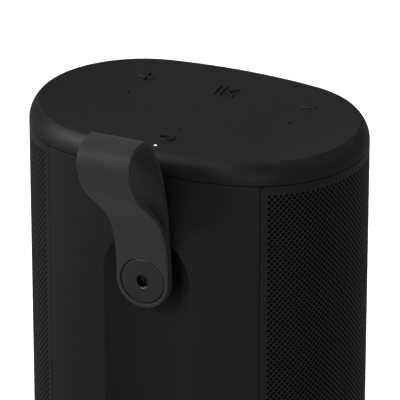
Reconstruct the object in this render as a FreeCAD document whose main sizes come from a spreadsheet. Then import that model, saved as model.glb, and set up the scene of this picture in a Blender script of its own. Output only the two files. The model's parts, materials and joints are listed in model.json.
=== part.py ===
import FreeCAD, Part

import math
import os
import re

import Sketcher  # noqa: F401  (registers the sketch objects)

V = FreeCAD.Vector
Rot = FreeCAD.Rotation

# Portable splash-proof speaker with a rubber carry loop.
# Frame: origin on the resting face under the middle of the body, +Z up,
# -Y is the back (the side with the carry loop), +Y the front, +X the body's left.

doc = FreeCAD.newDocument("shower_speaker")
sheet = doc.addObject("Spreadsheet::Sheet", "Params")

CELLS = [
    # overall body
    ("half_width", 56.25), ("half_depth", 38.14), ("end_radius", 36.4), ("side_radius", 150.26),
    ("total_height", 192.0), ("seam_z", 184.94), ("seam_gap", 0.35), ("foot_rise", 1.0),
    # top cap
    ("cap_straight", 0.71), ("cap_round_run", 2.92), ("cap_round_rise", 6.35), ("cap_round_radius", 8.3645), ("dish_depth", 2.74),
    ("dish_span", 35.2), ("cap_ceiling_z", 187.0), ("cap_wall", 2.9), ("cap_lip_inset", 2.15), ("cap_lip_z", 172.2),
    # keys in the cap
    ("key_relief", 0.45), ("key_disc_radius", 4.4), ("key_disc_z", 185.7), ("key_disc_thick", 1.2),
    ("key_stem_radius", 1.5), ("key_stem_z", 181.9), ("key_fit", 0.10), ("mark_width", 0.85),
    # electronics bay below the cap
    ("bay_board_z", 178.0), ("board_thick", 1.6), ("bay_board_inset", 5.4), ("key_switch_side", 3.0), ("key_switch_thick", 1.8),
    ("mic_bore_radius", 0.5), ("light_pipe_radius", 0.5), ("light_pipe_top", 191.34),
    # outer wrap
    ("wrap_low_z", 8.3), ("grille_thick", 1.0), ("cloth_inset", 1.1), ("cloth_thick", 0.4),
    ("panel_half", 36.8), ("panel_thick", 2.0), ("seam_half_gap", 0.1),
    # groove for the carry loop
    ("hub_z", 148.46), ("groove_radius", 34.3), ("groove_axis_y", -68.2), ("groove_skin", 2.0), ("groove_drop", 0.3), ("groove_low_z", 32.0),
    # carry loop and its screw
    ("strap_half", 9.1), ("hub_disc_radius", 7.5), ("hub_disc_face_y", -40.25), ("hub_disc_thick", 1.5), ("hub_disc_gap", 0.2),
    ("screw_shank_radius", 2.5), ("strap_back_y", -37.0), ("drive_radius", 2.25),
    # base
    ("base_run", 3.0), ("base_rise", 5.6), ("base_top_z", 7.95), ("base_floor_z", 3.6), ("foot_inset", 6.0), ("foot_thick", 1.4),
    # sealed cabinet
    ("cab_inset", 7.0), ("cab_wall", 2.4), ("cab_low_z", 11.6), ("cab_floor", 2.4), ("cab_top_z", 166.0), ("flange_inset", 2.5),
    ("flange_thick", 2.0), ("lid_low_z", 166.6), ("lid_top_z", 170.6),
    # woofer
    ("woofer_z", 106.0), ("baffle_y", 30.0), ("woofer_flange_radius", 32.0), ("woofer_bore_radius", 26.0), ("woofer_flange_thick", 1.4),
    ("magnet_radius", 18.0), ("magnet_thick", 9.0), ("magnet_y", 4.0), ("cone_rim_radius", 19.5), ("cone_neck_radius", 8.2), ("cone_wall", 0.7),
    ("coil_radius", 7.6), ("roll_radius", 22.5), ("roll_height", 2.6),
    # tweeters
    ("tweeter_z", 149.0), ("tweeter_x", 17.0), ("tweeter_radius", 11.5), ("tweeter_bore", 9.6), ("dome_radius", 7.0),
    # passive radiators
    ("passive_z", 56.0), ("passive_face_x", 45.6), ("passive_bore", 17.5), ("passive_frame", 20.5), ("passive_plate", 11.0), ("passive_roll", 14.2), ("passive_thick", 3.0),
    # battery
    ("cell_radius", 9.2), ("cell_length", 65.2), ("cell_x", 10.2), ("cell_y", -8.0), ("cell_z", 18.0),
    # main board
    ("main_y", -24.4), ("main_half", 30.0), ("main_low_z", 84.0), ("main_high_z", 139.0),
    # rear keys and charging port
    ("power_z", 65.0), ("pair_z", 49.0), ("rear_key_radius", 4.5), ("rear_key_face_y", -34.2), ("rear_key_flange", 5.6), ("rear_fit", 0.12),
    ("port_z", 33.0), ("port_half", 4.47), ("port_tall", 1.63), ("port_face_y", -33.6), ("port_depth", 7.4), ("port_wall", 0.3),
]
VALUES = dict(CELLS)
for row, (alias, value) in enumerate(CELLS, start=1):
    sheet.set("A%d" % row, alias)
    sheet.set("B%d" % row, repr(value))
    sheet.setAlias("B%d" % row, alias)
doc.recompute()


def px(text):
    """An expression in aliases, with each alias pointed at the sheet."""
    return re.sub(r"[a-z][a-z0-9_]*", lambda w: "Params." + w.group(0) if w.group(0) in VALUES else w.group(0), text)


def bind(obj, prop, value):
    if isinstance(value, str):
        obj.setExpression(prop, px(value))
    else:
        setattr(obj, prop, value)


def at(obj, x=0, y=0, z=0, rot=None):
    obj.Placement = FreeCAD.Placement(V(*[v if not isinstance(v, str) else 0 for v in (x, y, z)]), rot or Rot())
    for axis, v in zip("xyz", (x, y, z)):
        if isinstance(v, str):
            obj.setExpression("Placement.Base." + axis, px(v))
    return obj


TO_Y = Rot(V(1, 0, 0), -90)   # a primitive's +Z laid along +Y
TO_X = Rot(V(0, 1, 0), 90)    # a primitive's +Z laid along +X


def cyl(name, r, tall, x=0, y=0, z=0, rot=None):
    o = doc.addObject("Part::Cylinder", name)
    bind(o, "Radius", r)
    bind(o, "Height", tall)
    return at(o, x, y, z, rot)


def cone(name, low, high, tall, x=0, y=0, z=0, rot=None):
    o = doc.addObject("Part::Cone", name)
    bind(o, "Radius1", low)
    bind(o, "Radius2", high)
    bind(o, "Height", tall)
    return at(o, x, y, z, rot)


def box(name, lx, ly, lz, x=0, y=0, z=0, rot=None):
    """A block with its lowest corner at x, y, z."""
    o = doc.addObject("Part::Box", name)
    bind(o, "Length", lx)
    bind(o, "Width", ly)
    bind(o, "Height", lz)
    return at(o, x, y, z, rot)


def torus(name, big, small, x=0, y=0, z=0, rot=None):
    o = doc.addObject("Part::Torus", name)
    bind(o, "Radius1", big)
    bind(o, "Radius2", small)
    return at(o, x, y, z, rot)


def sphere(name, r, x=0, y=0, z=0):
    o = doc.addObject("Part::Sphere", name)
    bind(o, "Radius", r)
    return at(o, x, y, z)


def cut(name, base, *tools):
    tool = tools[0] if len(tools) == 1 else fuse(name + "_tools", *tools)
    o = doc.addObject("Part::Cut", name)
    o.Base, o.Tool = base, tool
    return o


def fuse(name, *items):
    o = doc.addObject("Part::MultiFuse", name)
    o.Shapes = list(items)
    return o


def common(name, a, b):
    o = doc.addObject("Part::Common", name)
    o.Base, o.Tool = a, b
    return o


def group(name, *items):
    """Separate solids of one kind under one label."""
    o = doc.addObject("Part::Compound", name)
    o.Links = list(items)
    return o


def plane(body, role):
    return [f for f in body.Origin.OriginFeatures if f.Role == role][0]


def oval(body, name, inset="0", z="0"):
    """The plan outline, drawn inwards by inset, on a level at z: two end arcs and two side arcs, tangent."""
    sk = body.newObject("Sketcher::SketchObject", name)
    sk.AttachmentSupport = [(plane(body, "XY_Plane"), "")]
    sk.MapMode = "FlatFace"
    sk.setExpression("AttachmentOffset.Base.z", px(z))
    add_oval(sk, inset)
    return sk


def add_oval(sk, inset):
    a, b, re_, rs = (VALUES[k] for k in ("half_width", "half_depth", "end_radius", "side_radius"))
    cx, cy = a - re_, rs - b
    lean = math.atan2(cy, cx)
    first = sk.GeometryCount
    end = Part.Circle(V(cx, 0, 0), V(0, 0, 1), re_)
    sk.addGeometry(Part.ArcOfCircle(end, -lean, lean))
    top = Part.Circle(V(0, -cy, 0), V(0, 0, 1), rs)
    sk.addGeometry(Part.ArcOfCircle(top, lean, math.pi - lean))
    end = Part.Circle(V(-cx, 0, 0), V(0, 0, 1), re_)
    sk.addGeometry(Part.ArcOfCircle(end, math.pi - lean, math.pi + lean))
    low = Part.Circle(V(0, cy, 0), V(0, 0, 1), rs)
    sk.addGeometry(Part.ArcOfCircle(low, math.pi + lean, 2 * math.pi - lean))
    for i in range(4):
        sk.addConstraint(Sketcher.Constraint("Tangent", first + i, 2, first + (i + 1) % 4, 1))
    for i, sign in ((0, ""), (2, "-")):
        n = sk.addConstraint(Sketcher.Constraint("DistanceX", -1, 1, first + i, 3, cx if not sign else -cx))
        sk.setExpression("Constraints[%d]" % n, px(sign + "(half_width - end_radius)"))
        sk.addConstraint(Sketcher.Constraint("DistanceY", -1, 1, first + i, 3, 0.0))
        n = sk.addConstraint(Sketcher.Constraint("Radius", first + i, re_))
        sk.setExpression("Constraints[%d]" % n, px("end_radius - (%s)" % inset))
    for i in (1, 3):
        n = sk.addConstraint(Sketcher.Constraint("Radius", first + i, rs))
        sk.setExpression("Constraints[%d]" % n, px("side_radius - (%s)" % inset))


def rect(body, name, x0, x1, y0, y1, z="0"):
    """A rectangle on a level at z, its four sides held from the origin."""
    sk = body.newObject("Sketcher::SketchObject", name)
    sk.AttachmentSupport = [(plane(body, "XY_Plane"), "")]
    sk.MapMode = "FlatFace"
    sk.setExpression("AttachmentOffset.Base.z", px(z))
    add_rect(sk, x0, x1, y0, y1)
    return sk


def add_rect(sk, x0, x1, y0, y1):
    f = sk.GeometryCount
    p = [V(-1, -1, 0), V(1, -1, 0), V(1, 1, 0), V(-1, 1, 0)]
    for i in range(4):
        sk.addGeometry(Part.LineSegment(p[i], p[(i + 1) % 4]))
    for i in range(4):
        sk.addConstraint(Sketcher.Constraint("Coincident", f + i, 2, f + (i + 1) % 4, 1))
    for i, kind in enumerate(("Horizontal", "Vertical", "Horizontal", "Vertical")):
        sk.addConstraint(Sketcher.Constraint(kind, f + i))
    for kind, geo, point, value in (("DistanceX", 0, 1, x0), ("DistanceX", 1, 1, x1), ("DistanceY", 0, 1, y0), ("DistanceY", 2, 1, y1)):
        n = sk.addConstraint(Sketcher.Constraint(kind, -1, 1, f + geo, point, {"x0": -1, "x1": 1, "y0": -1, "y1": 1}[
            {("DistanceX", 0): "x0", ("DistanceX", 1): "x1", ("DistanceY", 0): "y0", ("DistanceY", 2): "y1"}[(kind, geo)]]))
        sk.setExpression("Constraints[%d]" % n, px(str(value)))


def pad(body, name, sk, tall, down=False):
    o = body.newObject("PartDesign::Pad", name)
    o.Profile = sk
    bind(o, "Length", tall)
    o.Reversed = down
    return o


def pocket(body, name, sk, deep, up=True):
    o = body.newObject("PartDesign::Pocket", name)
    o.Profile = sk
    bind(o, "Length", deep)
    o.Reversed = up
    return o


def loft(body, name, sketches, kind="PartDesign::AdditiveLoft"):
    o = body.newObject(kind, name)
    o.Profile = sketches[0]
    o.Sections = sketches[1:]
    o.Ruled = False
    return o


def new_body(name):
    return doc.addObject("PartDesign::Body", name)


NODES = []


def node(obj, label=None):
    obj.Label = label or obj.Name
    NODES.append(obj)
    return obj


def dish_sections(body, lift):
    """Levels of the shallow dish in the cap's top, from its rim crease inwards."""
    out = []
    for k, inset in enumerate(("cap_round_run", "7", "12", "17", "23", "30")):
        depth = "0" if k == 0 else "dish_depth * (1 - (1 - (%s - cap_round_run) / dish_span) ^ 2)" % inset
        out.append(oval(body, "%s_dish%d" % (body.Name, k), inset, "total_height + %s - %s" % (lift, depth)))
    return out


# ---------------------------------------------------------------- top cap and its keys
cap = new_body("cap_body")
levels = [oval(cap, "cap_foot", "0", "seam_z")]
for k, deg in enumerate((0, 10, 20, 30, 40)):
    levels.append(oval(cap, "cap_level%d" % k, "cap_round_radius * (1 - cos(%d deg))" % deg,
                       "seam_z + cap_straight + cap_round_radius * sin(%d deg)" % deg))
levels.append(oval(cap, "cap_level5", "cap_round_run", "seam_z + cap_straight + cap_round_rise"))
loft(cap, "cap_outer", levels)
loft(cap, "cap_dish", dish_sections(cap, "0"), "PartDesign::SubtractiveLoft")
pocket(cap, "cap_hollow", oval(cap, "cap_hollow_outline", "cap_wall", "seam_z"), "cap_ceiling_z - seam_z")
lip = oval(cap, "cap_lip_outline", "cap_lip_inset", "cap_lip_z")
add_oval(lip, "cap_wall + 0.01")
pad(cap, "cap_lip", lip, "seam_z - cap_lip_z + 0.3")

trim = new_body("key_trim")
pad(trim, "trim_block", oval(trim, "trim_outline", "3.4", "170"), "total_height + key_relief - 170")
loft(trim, "trim_dish", dish_sections(trim, "key_relief"), "PartDesign::SubtractiveLoft")

MARK_LOW = "key_disc_z + key_disc_thick - 0.1"
MARK_TALL = "total_height - key_disc_z + 1"


def bars(name, items, grow):
    """Upright bars of a raised mark. Each item: centre x, centre y, length, width, turn in degrees."""
    made = []
    for k, (x, y, long, wide, turn) in enumerate(items):
        o = doc.addObject("Part::Box", "%s_bar%d" % (name, k))
        bind(o, "Length", "%s + 2 * %s" % (long, grow))
        bind(o, "Width", "%s + 2 * %s" % (wide, grow))
        bind(o, "Height", MARK_TALL)
        c, s = math.cos(math.radians(turn)), math.sin(math.radians(turn))
        half_l, half_w = "(%s + 2 * %s) / 2" % (long, grow), "(%s + 2 * %s) / 2" % (wide, grow)
        o.Placement = FreeCAD.Placement(V(0, 0, 0), Rot(V(0, 0, 1), turn))
        o.setExpression("Placement.Base.x", px("%s - %s * %.6f + %s * %.6f" % (x, half_l, c, half_w, s)))
        o.setExpression("Placement.Base.y", px("%s - %s * %.6f - %s * %.6f" % (y, half_l, s, half_w, c)))
        o.setExpression("Placement.Base.z", px(MARK_LOW))
        made.append(o)
    return made


def oval_post(name, x, y, half_x, half_y, grow):
    """An upright post with an elliptical outline."""
    o = doc.addObject("Part::Ellipse", name + "_edge")
    bind(o, "MajorRadius", "%s + %s" % (half_x, grow))
    bind(o, "MinorRadius", "%s + %s" % (half_y, grow))
    at(o, x, y, MARK_LOW)
    e = doc.addObject("Part::Extrusion", name)
    e.Base = o
    e.DirMode = "Custom"
    e.Dir = V(0, 0, 1)
    e.Solid = True
    e.setExpression("LengthFwd", px(MARK_TALL))
    return e


MARKS = {
    "volume_up_key": (-28.55, 19.55, [(-28.55, 19.55, "5.6", "mark_width", 0), (-28.55, 19.55, "mark_width", "5.7", 0)]),
    "volume_down_key": (29.05, 19.35, [(29.05, 19.35, "5.7", "mark_width", 0)]),
    "play_key": (0.0, 20.2, [(-3.25, 20.2, "mark_width", "6.0", 0), (-1.25, 20.2, "mark_width", "6.0", 0),
                             (1.80, 21.40, "4.2", "mark_width", 37.8), (1.80, 19.00, "4.2", "mark_width", -37.8)]),
}
openings = []
for name, (x, y, items) in MARKS.items():
    made = bars(name + "_m", items, "0")
    raised = fuse(name + "_raised", *made) if len(made) > 1 else made[0]
    raised_cut = common(name + "_top", raised, trim)
    disc = cyl(name + "_disc", "key_disc_radius", "key_disc_thick", x, y, "key_disc_z")
    stem = cyl(name + "_stem", "key_stem_radius", "key_disc_z - key_stem_z + 0.1", x, y, "key_stem_z")
    node(fuse(name, raised_cut, disc, stem))
    openings += bars(name + "_o", items, "key_fit")

# the voice key is a whole bubble: a flat field with a raised rim and a small tail
voice_x, voice_y = -0.25, -22.15
voice_rim = cut("voice_rim", oval_post("voice_rim_out", voice_x, voice_y, "3.0", "2.25", "0"),
                oval_post("voice_rim_in", voice_x, voice_y, "2.3", "1.55", "0"))
voice_tail = bars("voice_tail", [(0.95, -20.0, "1.5", "0.7", 65)], "0")[0]
voice_raised = common("voice_top", fuse("voice_mark", voice_rim, voice_tail), trim)
voice_disc = cyl("voice_disc", "key_disc_radius", "key_disc_thick", voice_x, voice_y, "key_disc_z")
voice_stem = cyl("voice_stem", "key_stem_radius", "key_disc_z - key_stem_z + 0.1", voice_x, voice_y, "key_stem_z")
voice_web = oval_post("voice_web", voice_x, voice_y, "2.4", "1.65", "0")
voice_cap = box("voice_web_top", 12, 12, 12, voice_x - 6, voice_y - 6, "total_height - dish_depth * 0.615")
node(fuse("voice_key", voice_raised, cut("voice_plug", voice_web, voice_cap), voice_disc, voice_stem))
openings.append(oval_post("voice_open", voice_x, voice_y, "3.0", "2.25", "key_fit"))
openings += bars("voice_tail_o", [(0.95, -20.0, "1.5", "0.7", 65)], "key_fit")

MICS = [(-28.75, 7.35), (28.75, 7.35), (0.0, -12.4)]
mic_bores = [cyl("mic_bore%d" % k, "mic_bore_radius", 20, x, y, 180) for k, (x, y) in enumerate(MICS)]
lamp_bore = cyl("lamp_bore", "light_pipe_radius + 0.03", 20, 0.1, -30.9, 180)
node(cut("top_cap", cap, *(openings + mic_bores + [lamp_bore])))

node(cyl("status_light_pipe", "light_pipe_radius", "light_pipe_top - (bay_board_z + board_thick + 1.1)", 0.1, -30.9,
         "bay_board_z + board_thick + 1.1"))

# ---------------------------------------------------------------- electronics bay under the cap
bay = new_body("bay_board_body")
pad(bay, "bay_board_pad", oval(bay, "bay_board_outline", "bay_board_inset", "bay_board_z"), "board_thick")
POSTS = [(-40, 10), (40, 10), (-40, -10), (40, -10)]
post_bores = [cyl("post_bore%d" % k, 1.35, 6, x, y, "bay_board_z - 1") for k, (x, y) in enumerate(POSTS)]
node(cut("key_board", bay, *post_bores))
KEYS = [(-28.55, 19.55), (29.05, 19.35), (0.0, 20.2), (voice_x, voice_y)]
node(group("key_switches", *[box("key_switch%d" % k, "key_switch_side", "key_switch_side", "key_switch_thick",
                                 x - 1.5, y - 1.5, "bay_board_z + board_thick") for k, (x, y) in enumerate(KEYS)]))
node(group("microphones", *[box("microphone%d" % k, 3.5, 2.65, 0.98, x - 1.75, y - 1.325, "bay_board_z + board_thick")
                            for k, (x, y) in enumerate(MICS)]))
node(group("microphone_boots", *[cut("boot%d" % k, cyl("boot_out%d" % k, 2.6, "cap_ceiling_z - bay_board_z - board_thick - 1.06", x, y, "bay_board_z + board_thick + 1.03"),
                                     cyl("boot_in%d" % k, 0.8, 9, x, y, "bay_board_z + board_thick + 0.9")) for k, (x, y) in enumerate(MICS)]))
node(box("status_led", 2.0, 1.6, 0.9, 0.1 - 1.0, -30.9 - 0.8, "bay_board_z + board_thick"))
node(group("key_board_screws", *[fuse("kb_screw%d" % k, cyl("kb_shank%d" % k, 1.2, 8.0, x, y, "bay_board_z + board_thick - 8"),
                                      cyl("kb_head%d" % k, 2.2, 1.5, x, y, "bay_board_z + board_thick"))
                                 for k, (x, y) in enumerate(POSTS)]))
seal = new_body("cap_seal_body")
sk = oval(seal, "cap_seal_outline", "flange_inset + 0.05", "lid_top_z")
add_oval(sk, "flange_inset + 1.2")
pad(seal, "cap_seal_pad", sk, "cap_lip_z - lid_top_z - 0.05")
node(seal, "cap_seal")

# ---------------------------------------------------------------- outer wrap: grille, cloth, back panel
WRAP_TALL = "seam_z - seam_gap - wrap_low_z"
grille = new_body("grille_body")
sk = oval(grille, "grille_outline", "0", "wrap_low_z")
add_oval(sk, "grille_thick")
pad(grille, "grille_pad", sk, WRAP_TALL)
pocket(grille, "grille_gap", rect(grille, "grille_gap_outline", "-(panel_half + 2 * seam_half_gap)", "panel_half + 2 * seam_half_gap",
                                  "-half_depth - 5", "0", "wrap_low_z - 1"), "seam_z")
node(grille, "front_grille")

cloth = new_body("cloth_body")
sk = oval(cloth, "cloth_outline", "cloth_inset", "wrap_low_z + 1")
add_oval(sk, "cloth_inset + cloth_thick")
pad(cloth, "cloth_pad", sk, WRAP_TALL + " - 2")
pocket(cloth, "cloth_gap", rect(cloth, "cloth_gap_outline", "-(panel_half + 0.9)", "panel_half + 0.9",
                                "-half_depth - 5", "0", "wrap_low_z - 1"), "seam_z")
node(cloth, "acoustic_cloth")

panel = new_body("panel_body")
sk = oval(panel, "panel_outline", "0", "wrap_low_z")
add_oval(sk, "panel_thick")
pad(panel, "panel_pad", sk, WRAP_TALL)
pocket(panel, "panel_front_off", rect(panel, "panel_front_outline", "-half_width - 5", "half_width + 5", "-10", "half_depth + 5", "wrap_low_z - 1"), "seam_z")
pocket(panel, "panel_left_off", rect(panel, "panel_left_outline", "-half_width - 5", "-panel_half", "-half_depth - 5", "0", "wrap_low_z - 1"), "seam_z")
pocket(panel, "panel_right_off", rect(panel, "panel_right_outline", "panel_half", "half_width + 5", "-half_depth - 5", "0", "wrap_low_z - 1"), "seam_z")

core = new_body("panel_core")
pad(core, "core_pad", oval(core, "core_outline", "0", "wrap_low_z"), WRAP_TALL)
GROOVE_TOP = "hub_z - groove_drop"


def groove(name, grow):
    return fuse(name, cyl(name + "_run", "groove_radius + %s" % grow, GROOVE_TOP + " - groove_low_z", 0, "groove_axis_y", "groove_low_z"),
                sphere(name + "_head", "groove_radius + %s" % grow, 0, "groove_axis_y", GROOVE_TOP),
                sphere(name + "_foot", "groove_radius + %s" % grow, 0, "groove_axis_y", "groove_low_z"))


skin = common("groove_skin_part", core, groove("groove_outer", "groove_skin"))
rear_bores = [
    cyl("hub_bore", "screw_shank_radius + 0.1", 12, 0, -41, "hub_z", TO_Y),
    cyl("power_bore", "rear_key_radius + rear_fit", 12, 0, -41, "power_z", TO_Y),
    cyl("pair_bore", "rear_key_radius + rear_fit", 12, 0, -41, "pair_z", TO_Y),
    box("port_bore", "2 * (port_half + rear_fit)", 12, "2 * (port_tall + rear_fit)", "-(port_half + rear_fit)", -41, "port_z - port_tall - rear_fit"),
]
node(cut("back_panel", fuse("panel_with_skin", panel, skin), groove("groove_inner", "0"), *rear_bores))

# ---------------------------------------------------------------- rear keys, charging port and their board
for name, z in (("power_key", "power_z"), ("pairing_key", "pair_z")):
    body = cyl(name + "_body", "rear_key_radius", "4.6", 0, "rear_key_face_y", z, TO_Y)
    rim = cyl(name + "_rim", "rear_key_flange", "0.8", 0, "rear_key_face_y + 3.4", z, TO_Y)
    node(fuse(name, body, rim))
shell_out = box("port_shell_out", "2 * port_half", "port_depth", "2 * port_tall", "-port_half", "port_face_y", "port_z - port_tall")
shell_in = box("port_shell_in", "2 * (port_half - port_wall)", "port_depth", "2 * (port_tall - port_wall)", "-(port_half - port_wall)",
               "port_face_y - 0.6", "port_z - port_tall + port_wall")
node(cut("charge_port_shell", shell_out, shell_in))
node(box("charge_port_tongue", 6.6, "port_depth - 1.1 - 0.6", 0.7, -3.3, "port_face_y + 1.1", "port_z - 0.35"))
node(cut("rear_key_board", box("rear_board", 24, 1.2, 50, -12, -27.4, 24),
         box("rear_board_notch", 9.4, 4, 3.7, -4.7, -29, "port_z - 1.85")))
node(group("rear_key_switches", *[box("rear_switch%d" % k, 3.0, 1.4, 3.0, -1.5, -28.85, z) for k, z in enumerate(("power_z - 1.5", "pair_z - 1.5"))]))

# ---------------------------------------------------------------- base
base = new_body("base_body")
levels = []
for k, deg in enumerate((90, 72, 54, 36, 18, 0)):
    levels.append(oval(base, "base_level%d" % k, "base_run * (1 - cos(%d deg))" % deg, "foot_rise + base_rise - base_rise * sin(%d deg)" % deg))
levels.append(oval(base, "base_brim", "0", "base_top_z"))
loft(base, "base_outer", levels)
pocket(base, "base_hollow", oval(base, "base_hollow_outline", "cap_wall", "base_floor_z"), "base_top_z - base_floor_z + 1")
pocket(base, "base_foot_seat", oval(base, "base_foot_seat_outline", "foot_inset - 0.1", "foot_rise - 0.5"), "foot_thick + 0.5 - foot_rise")
lip = oval(base, "base_lip_outline", "cap_lip_inset", "base_top_z - 0.3")
add_oval(lip, "cap_wall + 0.01")
pad(base, "base_lip", lip, 2.3)
BASE_SCREWS = [(-36, 0), (36, 0), (0, -22), (0, 22)]
base_posts = [cyl("base_post%d" % k, 3.4, "cab_low_z - base_floor_z + 0.15", x, y, "base_floor_z - 0.2") for k, (x, y) in enumerate(BASE_SCREWS)]
base_bores = [cyl("base_screw_bore%d" % k, 1.6, 14, x, y, 1.2) for k, (x, y) in enumerate(BASE_SCREWS)]
base_bores += [cyl("base_screw_seat%d" % k, 2.8, 1.85, x, y, 1.2) for k, (x, y) in enumerate(BASE_SCREWS)]
node(cut("base_cap", fuse("base_with_posts", base, *base_posts), *base_bores))
foot = new_body("foot_body")
pad(foot, "foot_pad", oval(foot, "foot_outline", "foot_inset", "0"), "foot_thick")
node(foot, "foot_pad_sheet")
node(group("base_screws", *[fuse("base_screw%d" % k, cyl("base_shank%d" % k, 1.4, 10.4, x, y, 3.0), cyl("base_head%d" % k, 2.6, 1.55, x, y, 1.5))
                            for k, (x, y) in enumerate(BASE_SCREWS)]))

# ---------------------------------------------------------------- sealed cabinet and its lid
cab = new_body("cabinet_body")
pad(cab, "cab_outer", oval(cab, "cab_outline", "cab_inset", "cab_low_z"), "cab_top_z - cab_low_z")
pad(cab, "cab_flange", oval(cab, "cab_flange_outline", "flange_inset", "cab_low_z"), "flange_thick")
room = new_body("cabinet_room")
pad(room, "room_pad", oval(room, "room_outline", "cab_inset + cab_wall", "cab_low_z + cab_floor"), "cab_top_z - cab_low_z")
LID = [(-30, -21.5), (30, -21.5), (-30, 21.5), (30, 21.5)]
BOARD = [(-26, 88), (26, 88), (-26, 134), (26, 134)]
WOOFER_SCREWS = [(20, 20), (-20, 20), (20, -20), (-20, -20)]
cab_added = [
    cyl("woofer_boss", "woofer_flange_radius + 1", "baffle_y - 22", 0, 22, "woofer_z", TO_Y),
    cyl("tweeter_boss_a", "tweeter_radius + 1", "baffle_y - 24", "-tweeter_x", 24, "tweeter_z", TO_Y),
    cyl("tweeter_boss_b", "tweeter_radius + 1", "baffle_y - 24", "tweeter_x", 24, "tweeter_z", TO_Y),
    cyl("passive_boss_a", "passive_frame + 0.8", "passive_face_x - 38", 38, 0, "passive_z", TO_X),
    cyl("passive_boss_b", "passive_frame + 0.8", "passive_face_x - 38", "-passive_face_x", 0, "passive_z", TO_X),
    cyl("insert_boss", 6.0, 10.1, 0, -31.6, "hub_z", TO_Y),
    box("rear_wall", 30.8, 7.7, 58, -15.4, -30.9, 20),
]
cab_added += [cyl("lid_post%d" % k, 4.0, 16, x, y, "cab_top_z - 16") for k, (x, y) in enumerate(LID)]
cab_added += [cyl("board_post%d" % k, 2.6, 3.0, x, -27.4, z, TO_Y) for k, (x, z) in enumerate(BOARD)]
cab_bores = [
    cyl("woofer_opening", "woofer_bore_radius", 30, 0, 10, "woofer_z", TO_Y),
    cyl("woofer_flat", "woofer_flange_radius + 0.3", 12, 0, "baffle_y", "woofer_z", TO_Y),
    cyl("tweeter_opening_a", "tweeter_bore", 30, "-tweeter_x", 10, "tweeter_z", TO_Y),
    cyl("tweeter_opening_b", "tweeter_bore", 30, "tweeter_x", 10, "tweeter_z", TO_Y),
    cyl("tweeter_flat_a", "tweeter_radius", 12, "-tweeter_x", "baffle_y", "tweeter_z", TO_Y),
    cyl("tweeter_flat_b", "tweeter_radius", 12, "tweeter_x", "baffle_y", "tweeter_z", TO_Y),
    cyl("passive_opening", "passive_bore", 120, -60, 0, "passive_z", TO_X),
    cyl("passive_flat_a", "passive_frame", 12, "passive_face_x", 0, "passive_z", TO_X),
    cyl("passive_flat_b", "passive_frame", 12, "-passive_face_x - 12", 0, "passive_z", TO_X),
    cyl("hub_insert_seat", 3.9, 10, 0, -32.8, "hub_z", TO_Y),
    box("rear_relief", 26, 10.4, 53, -13, -36, 22.5),
]
cab_bores += [cyl("cab_screw_bore%d" % k, 1.42, 2.0, x, y, "cab_low_z - 0.1") for k, (x, y) in enumerate(BASE_SCREWS)]
cab_bores += [cyl("lid_post_bore%d" % k, 1.42, 8, x, y, "cab_top_z - 7.5") for k, (x, y) in enumerate(LID)]
cab_bores += [cyl("board_post_bore%d" % k, 1.22, 3.4, x, -27.3, z, TO_Y) for k, (x, z) in enumerate(BOARD)]
cab_bores += [cyl("woofer_screw_bore%d" % k, 1.02, 7, x, "baffle_y - 5.1", "woofer_z + %s" % z, TO_Y) for k, (x, z) in enumerate(WOOFER_SCREWS)]
hollow_cab = cut("cab_hollowed", cab, room)
node(cut("cabinet", fuse("cab_solid", hollow_cab, *cab_added), *cab_bores))

lid = new_body("lid_body")
pad(lid, "lid_plate", oval(lid, "lid_outline", "cab_inset", "lid_low_z"), "lid_top_z - lid_low_z")
pad(lid, "lid_flange", oval(lid, "lid_flange_outline", "flange_inset", "lid_top_z - flange_thick"), "flange_thick")
posts = [cyl("bay_post%d" % k, 2.8, "bay_board_z - lid_top_z + 0.2", x, y, "lid_top_z - 0.2") for k, (x, y) in enumerate(POSTS)]
post_holes = [cyl("post_hole%d" % k, 1.22, 8, x, y, "bay_board_z - 6.6") for k, (x, y) in enumerate(POSTS)]
wire_slot = box("wire_slot", 16, 3, 9, -8, -4, "lid_low_z - 2")
lid_holes = [cyl("lid_screw_hole%d" % k, 1.5, 9, x, y, "lid_low_z - 2") for k, (x, y) in enumerate(LID)]
node(cut("cabinet_lid", fuse("lid_with_posts", lid, *posts), *(post_holes + [wire_slot] + lid_holes)))
lid_seal = new_body("lid_seal_body")
sk = oval(lid_seal, "lid_seal_outline", "cab_inset + 0.3", "cab_top_z")
add_oval(sk, "cab_inset + cab_wall - 0.3")
pad(lid_seal, "lid_seal_pad", sk, "lid_low_z - cab_top_z")
node(lid_seal, "lid_seal")
node(group("lid_screws", *[fuse("lid_screw%d" % k, cyl("lid_shank%d" % k, 1.4, 11, x, y, "lid_top_z - 11"), cyl("lid_head%d" % k, 2.6, 1.6, x, y, "lid_top_z"))
                           for k, (x, y) in enumerate(LID)]))

# ---------------------------------------------------------------- woofer, facing +Y
wz = "woofer_z"
flange = cut("basket_flange", cyl("flange_out", "woofer_flange_radius", "woofer_flange_thick", 0, "baffle_y", wz, TO_Y),
             cyl("flange_in", "roll_radius + 1.6", 6, 0, "baffle_y - 2", wz, TO_Y),
             *[cyl("flange_bore%d" % k, 1.1, 6, x, "baffle_y - 2", "woofer_z + %s" % z, TO_Y) for k, (x, z) in enumerate(WOOFER_SCREWS)])
barrel = cut("basket_barrel", cyl("barrel_out", "woofer_bore_radius - 0.3", "baffle_y + 0.01 - 14", 0, 14, wz, TO_Y),
             cyl("barrel_in", "woofer_bore_radius - 2.8", 30, 0, 12, wz, TO_Y))
shelf = cut("spider_shelf", cyl("shelf_out", 18.2, 3.05, 0, 14.2, wz, TO_Y), cyl("shelf_in", 15.6, 12, 0, 12, wz, TO_Y))
basket_back = cut("basket_back", cyl("back_out", "woofer_bore_radius - 0.3", 1.4, 0, "magnet_y + magnet_thick", wz, TO_Y),
                  cyl("back_in", "coil_radius + 1.2", 6, 0, 10, wz, TO_Y))
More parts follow.
